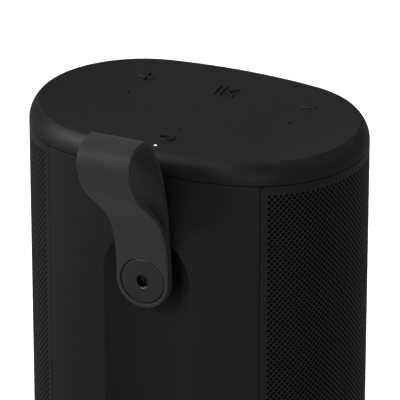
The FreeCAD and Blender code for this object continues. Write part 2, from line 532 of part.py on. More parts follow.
windows = [box("window%d" % k, 12, 10, 60, -6, 15.5, -30) for k in range(3)]
for k, w in enumerate(windows):
    w.Placement = FreeCAD.Placement(V(0, 0, VALUES["woofer_z"]), Rot(V(0, 1, 0), 60 * k)).multiply(FreeCAD.Placement(V(-6, 15.5, -30), Rot()))
node(cut("woofer_basket", fuse("basket_whole", flange, barrel, basket_back, shelf), *windows))
pole = fuse("magnet_parts", cyl("magnet_disc", "magnet_radius", "magnet_thick", 0, "magnet_y", wz, TO_Y),
            cyl("magnet_pole", "coil_radius - 1.2", "magnet_thick + 3", 0, "magnet_y", wz, TO_Y))
node(cut("woofer_magnet", pole, cut("magnet_slot", cyl("slot_out", "coil_radius + 0.9", 6, 0, "magnet_y + magnet_thick - 5", wz, TO_Y),
                                    cyl("slot_in", "coil_radius - 1.2", 8, 0, "magnet_y + magnet_thick - 6", wz, TO_Y))))
node(cut("woofer_voice_coil", cyl("coil_out", "coil_radius + 0.2", 9.95, 0, "magnet_y + magnet_thick - 1.6", wz, TO_Y),
         cyl("coil_in", "coil_radius - 0.5", 20, 0, "magnet_y + 2", wz, TO_Y)))
node(cut("woofer_cone", cone("cone_out", "cone_neck_radius", "cone_rim_radius", 8.6, 0, 21.4, wz, TO_Y),
         cone("cone_in", "cone_neck_radius - cone_wall", "cone_rim_radius - cone_wall", 8.62, 0, 21.39, wz, TO_Y)))
dust = common("dust_dome", sphere("dust_ball", 13.0, 0, 13.9, "woofer_z"), cyl("dust_keep", 8.75, 8, 0, 22.55, wz, TO_Y))
dust_hollow = sphere("dust_ball_in", 12.2, 0, 13.9, "woofer_z")
node(cut("woofer_dust_cap", dust, dust_hollow))
roll = cut("roll_ring", torus("roll_out", "roll_radius - 0.9", "1.9", 0, 30.6, wz, TO_Y), torus("roll_in", "roll_radius - 0.9", "1.3", 0, 30.6, wz, TO_Y))
roll_low = cut("roll_low", cyl("roll_low_out", 40, 20, 0, 10.6, wz, TO_Y), cyl("roll_low_in", 4, 30, 0, 5, wz, TO_Y))
roll_half = cut("roll_half", roll, roll_low)
rim_in = cut("roll_rim_in", cyl("rim_in_out", "roll_radius - 0.9 - 1.5", 0.6, 0, 30.05, wz, TO_Y), cyl("rim_in_in", "roll_radius - 0.9 - 3.4", 4, 0, 29, wz, TO_Y))
rim_out = cut("roll_rim_out", cyl("rim_out_out", "roll_radius + 1.5", 0.6, 0, 30.05, wz, TO_Y), cyl("rim_out_in", "roll_radius - 0.9 + 1.5", 4, 0, 29, wz, TO_Y))
node(fuse("woofer_surround", roll_half, rim_in, rim_out))
node(cut("woofer_spider", cyl("spider_out", 17.0, 0.5, 0, 17.3, wz, TO_Y), cyl("spider_in", "coil_radius + 0.25", 4, 0, 16, wz, TO_Y)))
node(group("woofer_screws", *[fuse("woofer_screw%d" % k, cyl("woofer_shank%d" % k, 1.0, 6.2, x, "baffle_y - 4.8", "woofer_z + %s" % z, TO_Y),
                                   cyl("woofer_head%d" % k, 1.9, 1.2, x, "baffle_y + woofer_flange_thick", "woofer_z + %s" % z, TO_Y))
                              for k, (x, z) in enumerate(WOOFER_SCREWS)]))

# ---------------------------------------------------------------- tweeters
for side, sx in (("left", "tweeter_x"), ("right", "-tweeter_x")):
    can = fuse(side + "_can", cyl(side + "_can_face", "tweeter_radius - 0.2", 1.2, sx, "baffle_y", "tweeter_z", TO_Y),
               cyl(side + "_can_body", "tweeter_bore - 0.2", 9, sx, "baffle_y - 8.9", "tweeter_z", TO_Y))
    node(cut(side + "_tweeter", can, cyl(side + "_can_mouth", "dome_radius + 0.2", 9, sx, "baffle_y - 2.5", "tweeter_z", TO_Y)))
    ball = sphere(side + "_dome_ball", 8.4, sx, "baffle_y - 6.2", "tweeter_z")
    node(common(side + "_tweeter_dome", ball, cyl(side + "_dome_keep", "dome_radius", 8, sx, "baffle_y - 2.5", "tweeter_z", TO_Y)))

# ---------------------------------------------------------------- passive radiators, one in each end
for side, sg in (("left", 1), ("right", -1)):
    turn = TO_X if sg > 0 else Rot(V(0, 1, 0), -90)
    s = "" if sg > 0 else "-"
    node(cone(side + "_passive_plate", "passive_plate - 2.0", "passive_plate", "passive_thick", "%s(passive_face_x - 1.8)" % s, 0, "passive_z", turn))
    plate_x = "%s(passive_face_x - 0.2)" % s
    ring = cut(side + "_passive_ring", torus(side + "_ring_out", "passive_roll", 2.4, plate_x, 0, "passive_z", turn), torus(side + "_ring_in", "passive_roll", 1.7, plate_x, 0, "passive_z", turn))
    half = cut(side + "_passive_half", ring, cyl(side + "_ring_low", 40, 20, "%s(passive_face_x - 20.2)" % s, 0, "passive_z", turn))
    lip_in = cut(side + "_lip_in", cyl(side + "_lip_in_out", "passive_roll - 1.9", 0.7, plate_x, 0, "passive_z", turn),
                 cyl(side + "_lip_in_in", "passive_plate + 0.04", 4, "%s(passive_face_x - 2)" % s, 0, "passive_z", turn))
    lip_out = cut(side + "_lip_out", cyl(side + "_lip_out_out", "passive_frame - 0.2", 0.7, "%s(passive_face_x + 0.02)" % s, 0, "passive_z", turn),
                  cyl(side + "_lip_out_in", "passive_roll + 1.9", 4, "%s(passive_face_x - 1)" % s, 0, "passive_z", turn))
    node(fuse(side + "_passive_surround", half, lip_in, lip_out))

# ---------------------------------------------------------------- battery
for side, sx in (("left", "cell_x"), ("right", "-cell_x")):
    node(cyl(side + "_battery_cell", "cell_radius", "cell_length", sx, "cell_y", "cell_z"))
holder = box("holder_block", 42, 16.5, "cell_length - 14", -21, "cell_y - 15.1", "cell_z + 7")
wells = [cyl("well%d" % k, "cell_radius + 0.15", 90, x, "cell_y", 0) for k, x in enumerate(("cell_x", "-cell_x"))]
node(cut("battery_holder", holder, *wells))

# ---------------------------------------------------------------- main board
node(cut("main_board", box("main_plate", "2 * main_half", "board_thick", "main_high_z - main_low_z", "-main_half", "main_y", "main_low_z"),
         *[cyl("main_bore%d" % k, 1.35, 6, x, -26, z, TO_Y) for k, (x, z) in enumerate(BOARD)]))
node(fuse("heat_spreader", box("spreader_plate", 38, 1.5, 30, -19, "main_y + board_thick + 1.6", 98),
          *[box("spreader_fin%d" % k, 1.2, 6.0, 30, -18.4 + 7.12 * k, "main_y + board_thick + 3.0", 98) for k in range(6)]))
node(group("amplifier_chips", *[box("chip%d" % k, 9, 1.6, 9, x - 4.5, "main_y + board_thick", 108) for k, x in enumerate((-10, 10))]))
node(group("main_board_screws", *[fuse("mb_screw%d" % k, cyl("mb_shank%d" % k, 1.2, 4.2, x, "main_y + board_thick - 4.2", z, TO_Y), cyl("mb_head%d" % k, 2.2, 1.4, x, "main_y + board_thick", z, TO_Y))
                                  for k, (x, z) in enumerate(BOARD)]))
ribbon = [(-2.6, 177.95), (-2.6, 160.0), (-14.0, 146.0), (-22.3, 139.5), (-22.3, 132.0)]
edge = [V(-6, y, z) for y, z in ribbon] + [V(-6, y + 0.35, z) for y, z in reversed(ribbon)]
cable = doc.addObject("Part::Feature", "key_cable")
cable.Shape = Part.Face(Part.makePolygon(edge + edge[:1])).extrude(V(12, 0, 0))
cable.Placement = FreeCAD.Placement()
node(cable)

# ---------------------------------------------------------------- carry loop and its screw
HZ, SZ = VALUES["hub_z"], VALUES["seam_z"]
OUTER_FACE = [(-40.30, -48.99), (-40.30, -42.31), (-40.35, -35.63), (-40.45, -30.96), (-40.85, -26.72), (-41.55, -22.72), (-43.10, -18.37),
              (-45.60, -14.14), (-49.00, -10.13), (-53.20, -6.18), (-58.20, -1.95), (-63.30, 4.01), (-65.75, 9.24), (-66.35, 13.25),
              (-65.10, 16.59), (-62.30, 18.65), (-58.50, 19.10), (-55.60, 18.87), (-53.60, 17.76), (-49.45, 13.58), (-46.45, 9.13),
              (-44.00, 3.67), (-42.40, -1.00), (-41.00, -6.68), (-39.55, -12.25), (-38.85, -17.59), (-38.45, -22.27), (-37.75, -27.61), (-37.15, -32.51),
              (-37.00, -36.75), (-37.00, -42.31), (-37.00, -48.99)]
EYE_OUT = [(-40.85, -17.75), (-42.50, -15.95), (-44.55, -13.36), (-48.05, -9.24), (-52.30, -5.34), (-57.10, -1.22), (-61.80, 4.12), (-64.05, 9.58), (-64.60, 13.08),
           (-63.80, 15.37), (-61.80, 16.76), (-58.40, 17.20), (-56.00, 16.98), (-54.60, 16.15), (-50.80, 12.36), (-48.00, 8.13), (-45.65, 2.84), (-44.05, -1.56), (-42.65, -7.13),
           (-41.25, -12.58), (-40.80, -15.40), (-40.85, -17.75)]


def spline(points):
    c = Part.BSplineCurve()
    c.interpolate([V(0, y, SZ + z) for y, z in points])
    return c.toShape()


face_curve = spline(OUTER_FACE)
(low_y, low_z), (high_y, high_z) = OUTER_FACE[-1], OUTER_FACE[0]
foot_line = Part.makeLine(V(0, low_y, SZ + low_z), V(0, high_y, SZ + high_z))
outer_wire = Part.Wire([face_curve, foot_line])
eye_wire = Part.Wire([spline(EYE_OUT)])
half = VALUES["strap_half"]
loop_face = Part.Face(outer_wire)
loop_solid = loop_face.extrude(V(2 * half, 0, 0))
eye_solid = Part.Face(eye_wire).extrude(V(2 * half + 4, 0, 0))
loop_solid.translate(V(-half, 0, 0))
eye_solid.translate(V(-half - 2, 0, 0))
loop_solid = loop_solid.cut(eye_solid)
keep = Part.makeBox(2 * half + 1, 60, 90, V(-half - 0.5, -80, HZ)).fuse(Part.makeCylinder(half, 60, V(0, -80, HZ), V(0, 1, 0)))
loop_raw = doc.addObject("Part::Feature", "carry_loop_raw")
loop_raw.Shape = loop_solid.common(keep)
loop_raw.Placement = FreeCAD.Placement()
node(cut("carry_strap", loop_raw,
         cyl("disc_seat", "hub_disc_radius + hub_disc_gap", 10, 0, "hub_disc_face_y + hub_disc_thick - 10 + 0.05", "hub_z", TO_Y),
         cyl("strap_bore", "screw_shank_radius + 0.06", 20, 0, -50, "hub_z", TO_Y)))
disc = cyl("hub_disc", "hub_disc_radius", "hub_disc_thick", 0, "hub_disc_face_y", "hub_z", TO_Y)
shank = cyl("hub_shank", "screw_shank_radius", "14.4 - hub_disc_thick", 0, "hub_disc_face_y + hub_disc_thick - 0.1", "hub_z", TO_Y)
recess = cone("drive_rim", "drive_radius + 0.45", "drive_radius", 0.45, 0, "hub_disc_face_y", "hub_z", TO_Y)
lobes = [doc.addObject("Part::Prism", "drive_hex")]
lobes[0].Polygon = 6
bind(lobes[0], "Circumradius", "drive_radius - 0.1")
bind(lobes[0], "Height", 3.2)
at(lobes[0], 0, "hub_disc_face_y", "hub_z", TO_Y)
node(cut("strap_screw", fuse("strap_screw_solid", disc, shank), recess, lobes[0]))
node(cut("strap_spacer", cyl("spacer_out", 5.4, 2.2, 0, "strap_back_y + 0.05", "hub_z", TO_Y), cyl("spacer_in", "screw_shank_radius + 0.1", 8, 0, -38, "hub_z", TO_Y)))
node(cut("strap_insert", cyl("insert_out", 3.85, 8.6, 0, -31.5, "hub_z", TO_Y), cyl("insert_in", "screw_shank_radius + 0.03", 12, 0, -33, "hub_z", TO_Y)))

# ---------------------------------------------------------------- recompute, check and write
doc.recompute()
failed = [o.Label for o in doc.Objects if "Invalid" in o.State or "Error" in o.State]
if failed:
    raise SystemExit("failed objects: %s" % failed)
os.makedirs("parts", exist_ok=True)
seen = set()
for o in NODES:
    s = o.Shape
    if s.isNull() or not s.isValid():
        raise SystemExit("%s has no valid shape" % o.Label)
    if o.Label in seen:
        raise SystemExit("two nodes called %s" % o.Label)
    seen.add(o.Label)
for o in NODES:
    s = o.Shape
    b = s.BoundBox
    print("%-24s solids %d volume %10.1f  x %.2f %.2f  y %.2f %.2f  z %.2f %.2f" % (
        o.Label, len(s.Solids), s.Volume, b.XMin, b.XMax, b.YMin, b.YMax, b.ZMin, b.ZMax))
    s.exportStep(os.path.join("parts", o.Label + ".step"))
print(len(NODES), "nodes")
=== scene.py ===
import json
import math

import bmesh
import bpy
import numpy as np
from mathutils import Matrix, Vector
from mathutils.geometry import delaunay_2d_cdt

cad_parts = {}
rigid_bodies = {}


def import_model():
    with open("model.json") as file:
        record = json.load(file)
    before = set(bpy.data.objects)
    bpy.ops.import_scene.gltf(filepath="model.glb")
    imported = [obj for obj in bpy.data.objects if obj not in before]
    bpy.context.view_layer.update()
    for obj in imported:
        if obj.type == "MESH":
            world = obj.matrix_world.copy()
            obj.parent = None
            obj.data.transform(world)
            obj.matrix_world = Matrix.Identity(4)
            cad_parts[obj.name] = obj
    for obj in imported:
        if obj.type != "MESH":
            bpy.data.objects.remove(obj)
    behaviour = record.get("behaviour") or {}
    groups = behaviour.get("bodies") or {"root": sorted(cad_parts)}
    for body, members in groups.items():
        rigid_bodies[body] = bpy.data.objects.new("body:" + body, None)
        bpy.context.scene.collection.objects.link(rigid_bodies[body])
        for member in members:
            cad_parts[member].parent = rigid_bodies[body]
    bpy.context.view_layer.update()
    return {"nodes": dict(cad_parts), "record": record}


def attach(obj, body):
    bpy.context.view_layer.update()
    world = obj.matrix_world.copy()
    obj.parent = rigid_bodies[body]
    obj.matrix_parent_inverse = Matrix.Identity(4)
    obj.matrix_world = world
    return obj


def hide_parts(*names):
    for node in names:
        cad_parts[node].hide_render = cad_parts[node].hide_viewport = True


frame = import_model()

MM = 0.001
PI = math.pi

# ------------------------------------------------------------------ the plan outline, in millimetres
HALF_W, HALF_D, R_END, R_SIDE = 56.25, 38.14, 36.4, 150.26
CX, CY = HALF_W - R_END, R_SIDE - HALF_D
LEAN = math.atan2(CY, CX)
BETA = PI / 2 - LEAN
_S = np.cumsum([0, R_SIDE * BETA, 2 * R_END * LEAN, 2 * R_SIDE * BETA, 2 * R_END * LEAN, R_SIDE * BETA])
_P = -PI / 2 + np.cumsum([0, BETA, 2 * LEAN, 2 * BETA, 2 * LEAN, BETA])
ROUND = float(_S[-1])
SEAM, TOP = 184.94, 192.0
WRAP_LOW, WRAP_TOP = 8.3, 184.72
HUB_Z = 148.46


def phi_at(s):
    """The outward direction at arc length s round the outline, from the middle of the back."""
    s = np.asarray(s, float)
    turn = np.floor(s / ROUND)
    return np.interp(s - turn * ROUND, _S, _P) + 2 * PI * turn


def oval(phi, inset=0.0):
    phi = np.asarray(phi, float)
    c, s = np.cos(phi), np.sin(phi)
    side = np.abs(s) > math.sin(LEAN)
    r = np.where(side, R_SIDE, R_END) - inset
    return np.where(side, 0.0, np.sign(c) * CX) + r * c, np.where(side, -np.sign(s) * CY, 0.0) + r * s


def inset_of(x, y):
    x, y = np.abs(x), np.abs(y)
    return np.where(x <= (y + CY) * CX / CY, R_SIDE - np.hypot(x, y + CY), R_END - np.hypot(x - CX, y))


def dish_z(x, y):
    """Height of the cap's dished top. Its rim turns over a short soft crest."""
    d = np.maximum(inset_of(x, y) - 2.92, 0.0)
    soft = 0.3
    slope = 2 * 2.74 / 35.2
    e = np.maximum(d - soft / 2, 0.0)
    deep = 2.74 * (1 - (1 - np.minimum(e / 35.2, 1.0)) ** 2)
    return TOP - np.where(d < soft, slope * d * d / (2 * soft), deep)


# ------------------------------------------------------------------ mesh tools
class Shell:
    """Collects points and faces in millimetres, then makes one object of them."""

    def __init__(self):
        self.v, self.f, self.n = [], [], 0

    def add(self, pts):
        pts = np.asarray(pts, float).reshape(-1, 3)
        first = self.n
        self.v.append(pts)
        self.n += len(pts)
        return np.arange(first, self.n)

    def faces(self, f, flat=False, mat=0):
        f = np.asarray(f, np.int64)
        if len(f):
            self.f.append((f, flat, mat))

    def strip(self, a, b, closed=False, flat=False, mat=0):
        a, b = np.asarray(a), np.asarray(b)
        if closed:
            a, b = np.append(a, a[0]), np.append(b, b[0])
        self.faces(np.c_[a[:-1], a[1:], b[1:], b[:-1]], flat, mat)

    def rows(self, rows, closed=False, flat=False, mat=0):
        for a, b in zip(rows[:-1], rows[1:]):
            self.strip(a, b, closed, flat, mat)

    def make(self, name, body, mats, replaces=(), weld=True, angle=38.0, recalc=True):
        v = np.concatenate(self.v) * MM
        me = bpy.data.meshes.new(name)
        loops = np.concatenate([f.ravel() for f, _, _ in self.f])
        sizes = np.concatenate([np.full(len(f), f.shape[1]) for f, _, _ in self.f])
        starts = np.concatenate([[0], np.cumsum(sizes)[:-1]])
        me.vertices.add(len(v))
        me.vertices.foreach_set("co", v.astype(np.float32).ravel())
        me.loops.add(len(loops))
        me.loops.foreach_set("vertex_index", loops.astype(np.int32))
        me.polygons.add(len(sizes))
        me.polygons.foreach_set("loop_start", starts.astype(np.int32))
        me.polygons.foreach_set("material_index", np.concatenate([np.full(len(f), m) for f, _, m in self.f]).astype(np.int32))
        smooth = np.concatenate([np.full(len(f), not flat) for f, flat, _ in self.f])
        me.update(calc_edges=True)
        me.polygons.foreach_set("use_smooth", smooth)
        me.validate()
        if weld:
            bm = bmesh.new()
            bm.from_mesh(me)
            bmesh.ops.remove_doubles(bm, verts=bm.verts, dist=2e-6)
            bmesh.ops.dissolve_degenerate(bm, dist=1e-7, edges=bm.edges)
            loose = [x for x in bm.verts if not x.link_faces]
            bmesh.ops.delete(bm, geom=loose, context="VERTS")
            if recalc:
                bmesh.ops.recalc_face_normals(bm, faces=bm.faces)
            bm.to_mesh(me)
            bm.free()
        if angle:
            me.set_sharp_from_angle(angle=math.radians(angle))
        me.update()
        o = bpy.data.objects.new(name, me)
        bpy.context.scene.collection.objects.link(o)
        for m in mats:
            me.materials.append(m)
        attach(o, body)
        if replaces:
            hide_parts(*replaces)
        return o


def inside(pts, poly):
    """Which points lie inside a closed polygon."""
    poly = np.asarray(poly, float)
    x, y = pts[:, 0], pts[:, 1]
    hit = np.zeros(len(pts), bool)
    ax, ay = poly[:, 0], poly[:, 1]
    bx, by = np.roll(ax, -1), np.roll(ay, -1)
    for i in range(len(poly)):
        if ay[i] == by[i]:
            continue
        cross = ((ay[i] > y) != (by[i] > y)) & (x < (bx[i] - ax[i]) * (y - ay[i]) / (by[i] - ay[i]) + ax[i])
        hit ^= cross
    return hit


def fill(loops, free=None, lines=()):
    """Triangles over the area inside the first loop and outside the others. The points come back with the loops' own first, in order.
    lines are open chains of points that edges must follow."""
    loops = [np.asarray(p, float) for p in loops]
    parts, edges, n = [], [], 0
    for p in loops:
        k = len(p)
        edges += [(n + i, n + (i + 1) % k) for i in range(k)]
        parts.append(p)
        n += k
    for p in lines:
        p = np.asarray(p, float)
        edges += [(n + i, n + i + 1) for i in range(len(p) - 1)]
        parts.append(p)
        n += len(p)
    if free is not None and len(free):
        parts.append(np.asarray(free, float))
    pts = np.concatenate(parts)
    out_v, _, out_f, origin, _, _ = delaunay_2d_cdt([Vector(p) for p in pts], edges, [], 0, 1e-5, True)
    back, extra = [], []
    for i, o in enumerate(origin):
        if len(o):
            back.append(min(o))
        else:
            back.append(len(pts) + len(extra))
            extra.append([out_v[i][0], out_v[i][1]])
    if extra:
        pts = np.concatenate([pts, np.array(extra)])
    back = np.array(back)
    tri = np.array([t for t in out_f if len(t) == 3])
    tri = back[tri]
    mid = pts[tri].mean(1)
    ok = inside(mid, loops[0])
    for h in loops[1:]:
        ok &= ~inside(mid, h)
    tri = tri[ok]
    area = np.cross(pts[tri[:, 1]] - pts[tri[:, 0]], pts[tri[:, 2]] - pts[tri[:, 0]])
    tri = tri[np.abs(area) > 1e-9]
    return pts, tri


def offset(poly, d):
    """A closed polygon moved outwards by d, corner by corner. The polygon runs anticlockwise."""
    p = np.asarray(poly, float)
    a, b = np.roll(p, 1, 0), np.roll(p, -1, 0)
    t0, t1 = p - a, b - p
    t0 /= np.linalg.norm(t0, axis=1)[:, None]
    t1 /= np.linalg.norm(t1, axis=1)[:, None]
    n0, n1 = np.c_[t0[:, 1], -t0[:, 0]], np.c_[t1[:, 1], -t1[:, 0]]
    return p + d * (n0 + n1) / (1 + (n0 * n1).sum(1))[:, None]


def soften(poly, r, n=4):
    """Each corner of a closed polygon turned into a small arc."""
    p = np.asarray(poly, float)
    out = []
    for i in range(len(p)):
        a, b, c = p[i - 1], p[i], p[(i + 1) % len(p)]
        u, w = (a - b) / np.linalg.norm(a - b), (c - b) / np.linalg.norm(c - b)
        turn = math.acos(max(-1, min(1, float(u @ w))))
        if turn > PI - 0.05:
            out.append(b)
            continue
        cut_ = r / math.tan(turn / 2)
        p0, p1 = b + u * cut_, b + w * cut_
        for t in np.linspace(0, 1, n):
            out.append((1 - t) ** 2 * p0 + 2 * t * (1 - t) * b + t * t * p1)
    return np.array(out)


def circle(x, y, r, n=24, start=0.0):
    t = start + np.arange(n) * 2 * PI / n
    return np.c_[x + r * np.cos(t), y + r * np.sin(t)]


def spline(points, step=0.5, closed=False):
    """A smooth line through points, spaced evenly."""
    p = np.asarray(points, float)
    t = np.concatenate([[0], np.cumsum(np.linalg.norm(np.diff(p, axis=0), axis=1))])
    n = len(p)
    h = np.diff(t)
    a = np.zeros((n, n))
    rhs = np.zeros((n, 2))
    a[0, 0] = a[-1, -1] = 1
    for i in range(1, n - 1):
        a[i, i - 1], a[i, i], a[i, i + 1] = h[i - 1], 2 * (h[i - 1] + h[i]), h[i]
        rhs[i] = 6 * ((p[i + 1] - p[i]) / h[i] - (p[i] - p[i - 1]) / h[i - 1])
    m = np.linalg.solve(a, rhs)

    def value(u):
        i = np.clip(np.searchsorted(t, u, side="right") - 1, 0, n - 2)
        d0, d1, hh = (u - t[i])[:, None], (t[i + 1] - u)[:, None], h[i][:, None]
        return m[i] * d1 ** 3 / (6 * hh) + m[i + 1] * d0 ** 3 / (6 * hh) + (p[i] / hh - m[i] * hh / 6) * d1 + (p[i + 1] / hh - m[i + 1] * hh / 6) * d0

    fine = np.linspace(0, t[-1], 4000)
    q = value(fine)
    s = np.concatenate([[0], np.cumsum(np.linalg.norm(np.diff(q, axis=0), axis=1))])
    k = max(2, int(round(s[-1] / step)))
    return value(np.interp(np.linspace(0, s[-1], k + 1), s, fine))


def lathe_y(sh, profile, z, n=64, x=0.0, flat=False, mat=0, start=0.0):
    """Rows of a shape turned about a line along Y through x, z. profile is (radius, y) pairs; a radius of 0 closes it."""
    t = start + np.arange(n) * 2 * PI / n
    rows = []
    for r, y in profile:
        if r <= 0:
            one = sh.add([[x, y, z]])
            rows.append(np.full(n, one[0]))
        else:
            rows.append(sh.add(np.c_[x + r * np.cos(t), np.full(n, y), z + r * np.sin(t)]))
    for a, b, (ra, _), (rb, _) in zip(rows[:-1], rows[1:], profile[:-1], profile[1:]):
        if ra <= 0:
            sh.faces(np.c_[a, b, np.roll(b, -1)], flat, mat)
        elif rb <= 0:
            sh.faces(np.c_[a, np.roll(a, -1), b], flat, mat)
        else:
            sh.strip(a, b, True, flat, mat)
    return rows


def lathe_z(sh, profile, x, y, n=48, flat=False, mat=0):
    t = np.arange(n) * 2 * PI / n
    rows = []
    for r, z in profile:
        if r <= 0:
            one = sh.add([[x, y, z]])
            rows.append(np.full(n, one[0]))
        else:
            rows.append(sh.add(np.c_[x + r * np.cos(t), y + r * np.sin(t), np.full(n, z)]))
    for a, b, (ra, _), (rb, _) in zip(rows[:-1], rows[1:], profile[:-1], profile[1:]):
        if ra <= 0:
            sh.faces(np.c_[a, b, np.roll(b, -1)], flat, mat)
        elif rb <= 0:
            sh.faces(np.c_[a, np.roll(a, -1), b], flat, mat)
        else:
            sh.strip(a, b, True, flat, mat)
    return rows


# ------------------------------------------------------------------ materials
def material(name, colour, rough, grain=0.0, grain_size=0.3, mottle=0.08, mottle_size=9.0, rough_vary=0.06, metallic=0.0, specular=0.5,
             coat=0.0, coat_rough=0.3, sheen=0.0, sheen_rough=0.5, wave=None, emission=None, emission_strength=0.0, flecks=0.0, smudge=0.0,
             transmission=0.0, subsurface=0.0, ior=1.5):
    """A procedural finish. grain is the depth of a fine surface texture in millimetres, and grain_size its size in millimetres.
    mottle varies the colour over mottle_size, and rough_vary the roughness."""
    m = bpy.data.materials.new(name)
    m.use_nodes = True
    t = m.node_tree
    t.nodes.clear()
    out = t.nodes.new("ShaderNodeOutputMaterial")
    b = t.nodes.new("ShaderNodeBsdfPrincipled")
    t.links.new(b.outputs["BSDF"], out.inputs["Surface"])
    b.inputs["Metallic"].default_value = metallic
    b.inputs["Specular IOR Level"].default_value = specular
    b.inputs["IOR"].default_value = ior
    b.inputs["Coat Weight"].default_value = coat
    b.inputs["Coat Roughness"].default_value = coat_rough
    b.inputs["Sheen Weight"].default_value = sheen
    b.inputs["Sheen Roughness"].default_value = sheen_rough
    b.inputs["Transmission Weight"].default_value = transmission
    b.inputs["Subsurface Weight"].default_value = subsurface
    if emission:
        b.inputs["Emission Color"].default_value = (*emission, 1)
        b.inputs["Emission Strength"].default_value = emission_strength
    where = t.nodes.new("ShaderNodeTexCoord")

    def noise(size_mm, detail=3.0, rough_=0.55):
        n = t.nodes.new("ShaderNodeTexNoise")
        n.inputs["Scale"].default_value = 1000.0 / size_mm
        n.inputs["Detail"].default_value = detail
        n.inputs["Roughness"].default_value = rough_
        t.links.new(where.outputs["Object"], n.inputs["Vector"])
        return n

    def ramp(source, lo, hi, from_lo=0.3, from_hi=0.7):
        r = t.nodes.new("ShaderNodeMapRange")
        r.inputs["From Min"].default_value = from_lo
        r.inputs["From Max"].default_value = from_hi
        r.inputs["To Min"].default_value = lo
        r.inputs["To Max"].default_value = hi
        t.links.new(source, r.inputs["Value"])
        return r.outputs["Result"]

    def rescale(source, lo_c, hi_c):
        mix = t.nodes.new("ShaderNodeMix")
        mix.data_type = "RGBA"
        mix.inputs[6].default_value = (*lo_c, 1)
        mix.inputs[7].default_value = (*hi_c, 1)
        t.links.new(source, mix.inputs[0])
        return mix.outputs[2]

    lo = [c * (1 - mottle) for c in colour]
    hi = [c * (1 + mottle) for c in colour]
    broad = noise(mottle_size)
    fine = noise(max(grain_size * 1.6, 0.05), 2.0)
    add = t.nodes.new("ShaderNodeMath")
    add.operation = "MULTIPLY_ADD"
    add.inputs[1].default_value = 0.45
    t.links.new(fine.outputs["Fac"], add.inputs[0])
    part = t.nodes.new("ShaderNodeMath")
    part.operation = "MULTIPLY"
    part.inputs[1].default_value = 0.55
    t.links.new(broad.outputs["Fac"], part.inputs[0])
    t.links.new(part.outputs[0], add.inputs[2])
    tone = rescale(ramp(add.outputs[0], 0, 1), lo, hi)
    if flecks:
        v = t.nodes.new("ShaderNodeTexVoronoi")
        v.inputs["Scale"].default_value = 1000.0 / 2.2
        t.links.new(where.outputs["Object"], v.inputs["Vector"])
        f = ramp(v.outputs["Distance"], flecks, 0.0, 0.0, 0.07)
        mix = t.nodes.new("ShaderNodeMix")
        mix.data_type = "RGBA"
        t.links.new(f, mix.inputs[0])
        t.links.new(tone, mix.inputs[6])
        mix.inputs[7].default_value = (*[min(1, c * 3 + 0.02) for c in colour], 1)
        tone = mix.outputs[2]
    t.links.new(tone, b.inputs["Base Color"])
    rough_noise = noise(mottle_size * 0.6, 4.0, 0.6)
    t.links.new(ramp(rough_noise.outputs["Fac"], rough - rough_vary, rough + rough_vary), b.inputs["Roughness"])
    last = None
    if wave:
        kind, size, depth = wave
        w = t.nodes.new("ShaderNodeTexWave")
        w.wave_type = "BANDS"
        w.bands_direction = kind
        w.inputs["Scale"].default_value = 1000.0 / size / 6.283 * 1.0
        w.inputs["Distortion"].default_value = 0.6
        w.inputs["Detail"].default_value = 1.0
        t.links.new(where.outputs["Object"], w.inputs["Vector"])
        bump = t.nodes.new("ShaderNodeBump")
        bump.inputs["Distance"].default_value = depth * MM
        bump.inputs["Strength"].default_value = 1.0
        t.links.new(w.outputs["Fac"], bump.inputs["Height"])
        last = bump
    if grain:
        n = noise(grain_size, 3.0, 0.6)
        bump = t.nodes.new("ShaderNodeBump")
        bump.inputs["Distance"].default_value = grain * MM
        bump.inputs["Strength"].default_value = 1.0
        t.links.new(n.outputs["Fac"], bump.inputs["Height"])
        if last:
            t.links.new(last.outputs["Normal"], bump.inputs["Normal"])
        last = bump
    if last:
        t.links.new(last.outputs["Normal"], b.inputs["Normal"])
    return m


CAP = material("cap_plastic_mat", (0.0112, 0.0111, 0.0110), 0.50, grain=0.010, grain_size=0.45, mottle=0.05, mottle_size=22, rough_vary=0.03, specular=0.5)
KEY = material("key_plastic_mat", (0.0112, 0.0111, 0.0110), 0.50, grain=0.008, grain_size=0.4, mottle=0.05, mottle_size=6, rough_vary=0.03, specular=0.5)
PANEL = material("panel_plastic_mat", (0.0112, 0.0111, 0.0110), 0.50, grain=0.010, grain_size=0.45, mottle=0.05, mottle_size=25, rough_vary=0.03, specular=0.5)
GRILLE = material("grille_metal_mat", (0.0120, 0.0120, 0.0120), 0.46, grain=0.006, grain_size=0.25, mottle=0.08, mottle_size=12, rough_vary=0.04, specular=0.5)
STRAP = material("strap_rubber_mat", (0.0485, 0.0485, 0.0485), 0.62, grain=0.008, grain_size=0.35, mottle=0.04, mottle_size=12, rough_vary=0.04, specular=0.35, sheen=0.12, sheen_rough=0.5)
SCREW = material("screw_metal_mat", (0.13, 0.13, 0.13), 0.36, grain=0.002, grain_size=0.3, mottle=0.04, mottle_size=5, rough_vary=0.03, metallic=1.0)
# a darker, rougher copy of the screw metal for the drive's walls and floor: painted shade in the socket
SOCKET_PAINTED_SHADE = material("screw_socket_painted_shade_mat", (0.10, 0.10, 0.10), 0.45, grain=0.003, grain_size=0.3, mottle=0.1, mottle_size=1.0, metallic=1.0)
# a darker, less glossy copy of the panel plastic for the groove's faces: painted shade in the recess
RECESS_PAINTED_SHADE = material("recess_painted_shade_mat", (0.0092, 0.0092, 0.0091), 0.50, grain=0.010, grain_size=0.45, mottle=0.05, mottle_size=25, rough_vary=0.03, specular=0.42)
LAMP = material("light_pipe_mat", (0.8, 0.8, 0.8), 0.3, mottle=0.02, mottle_size=1.0, rough_vary=0.05, emission=(1, 1, 1), emission_strength=2.5)
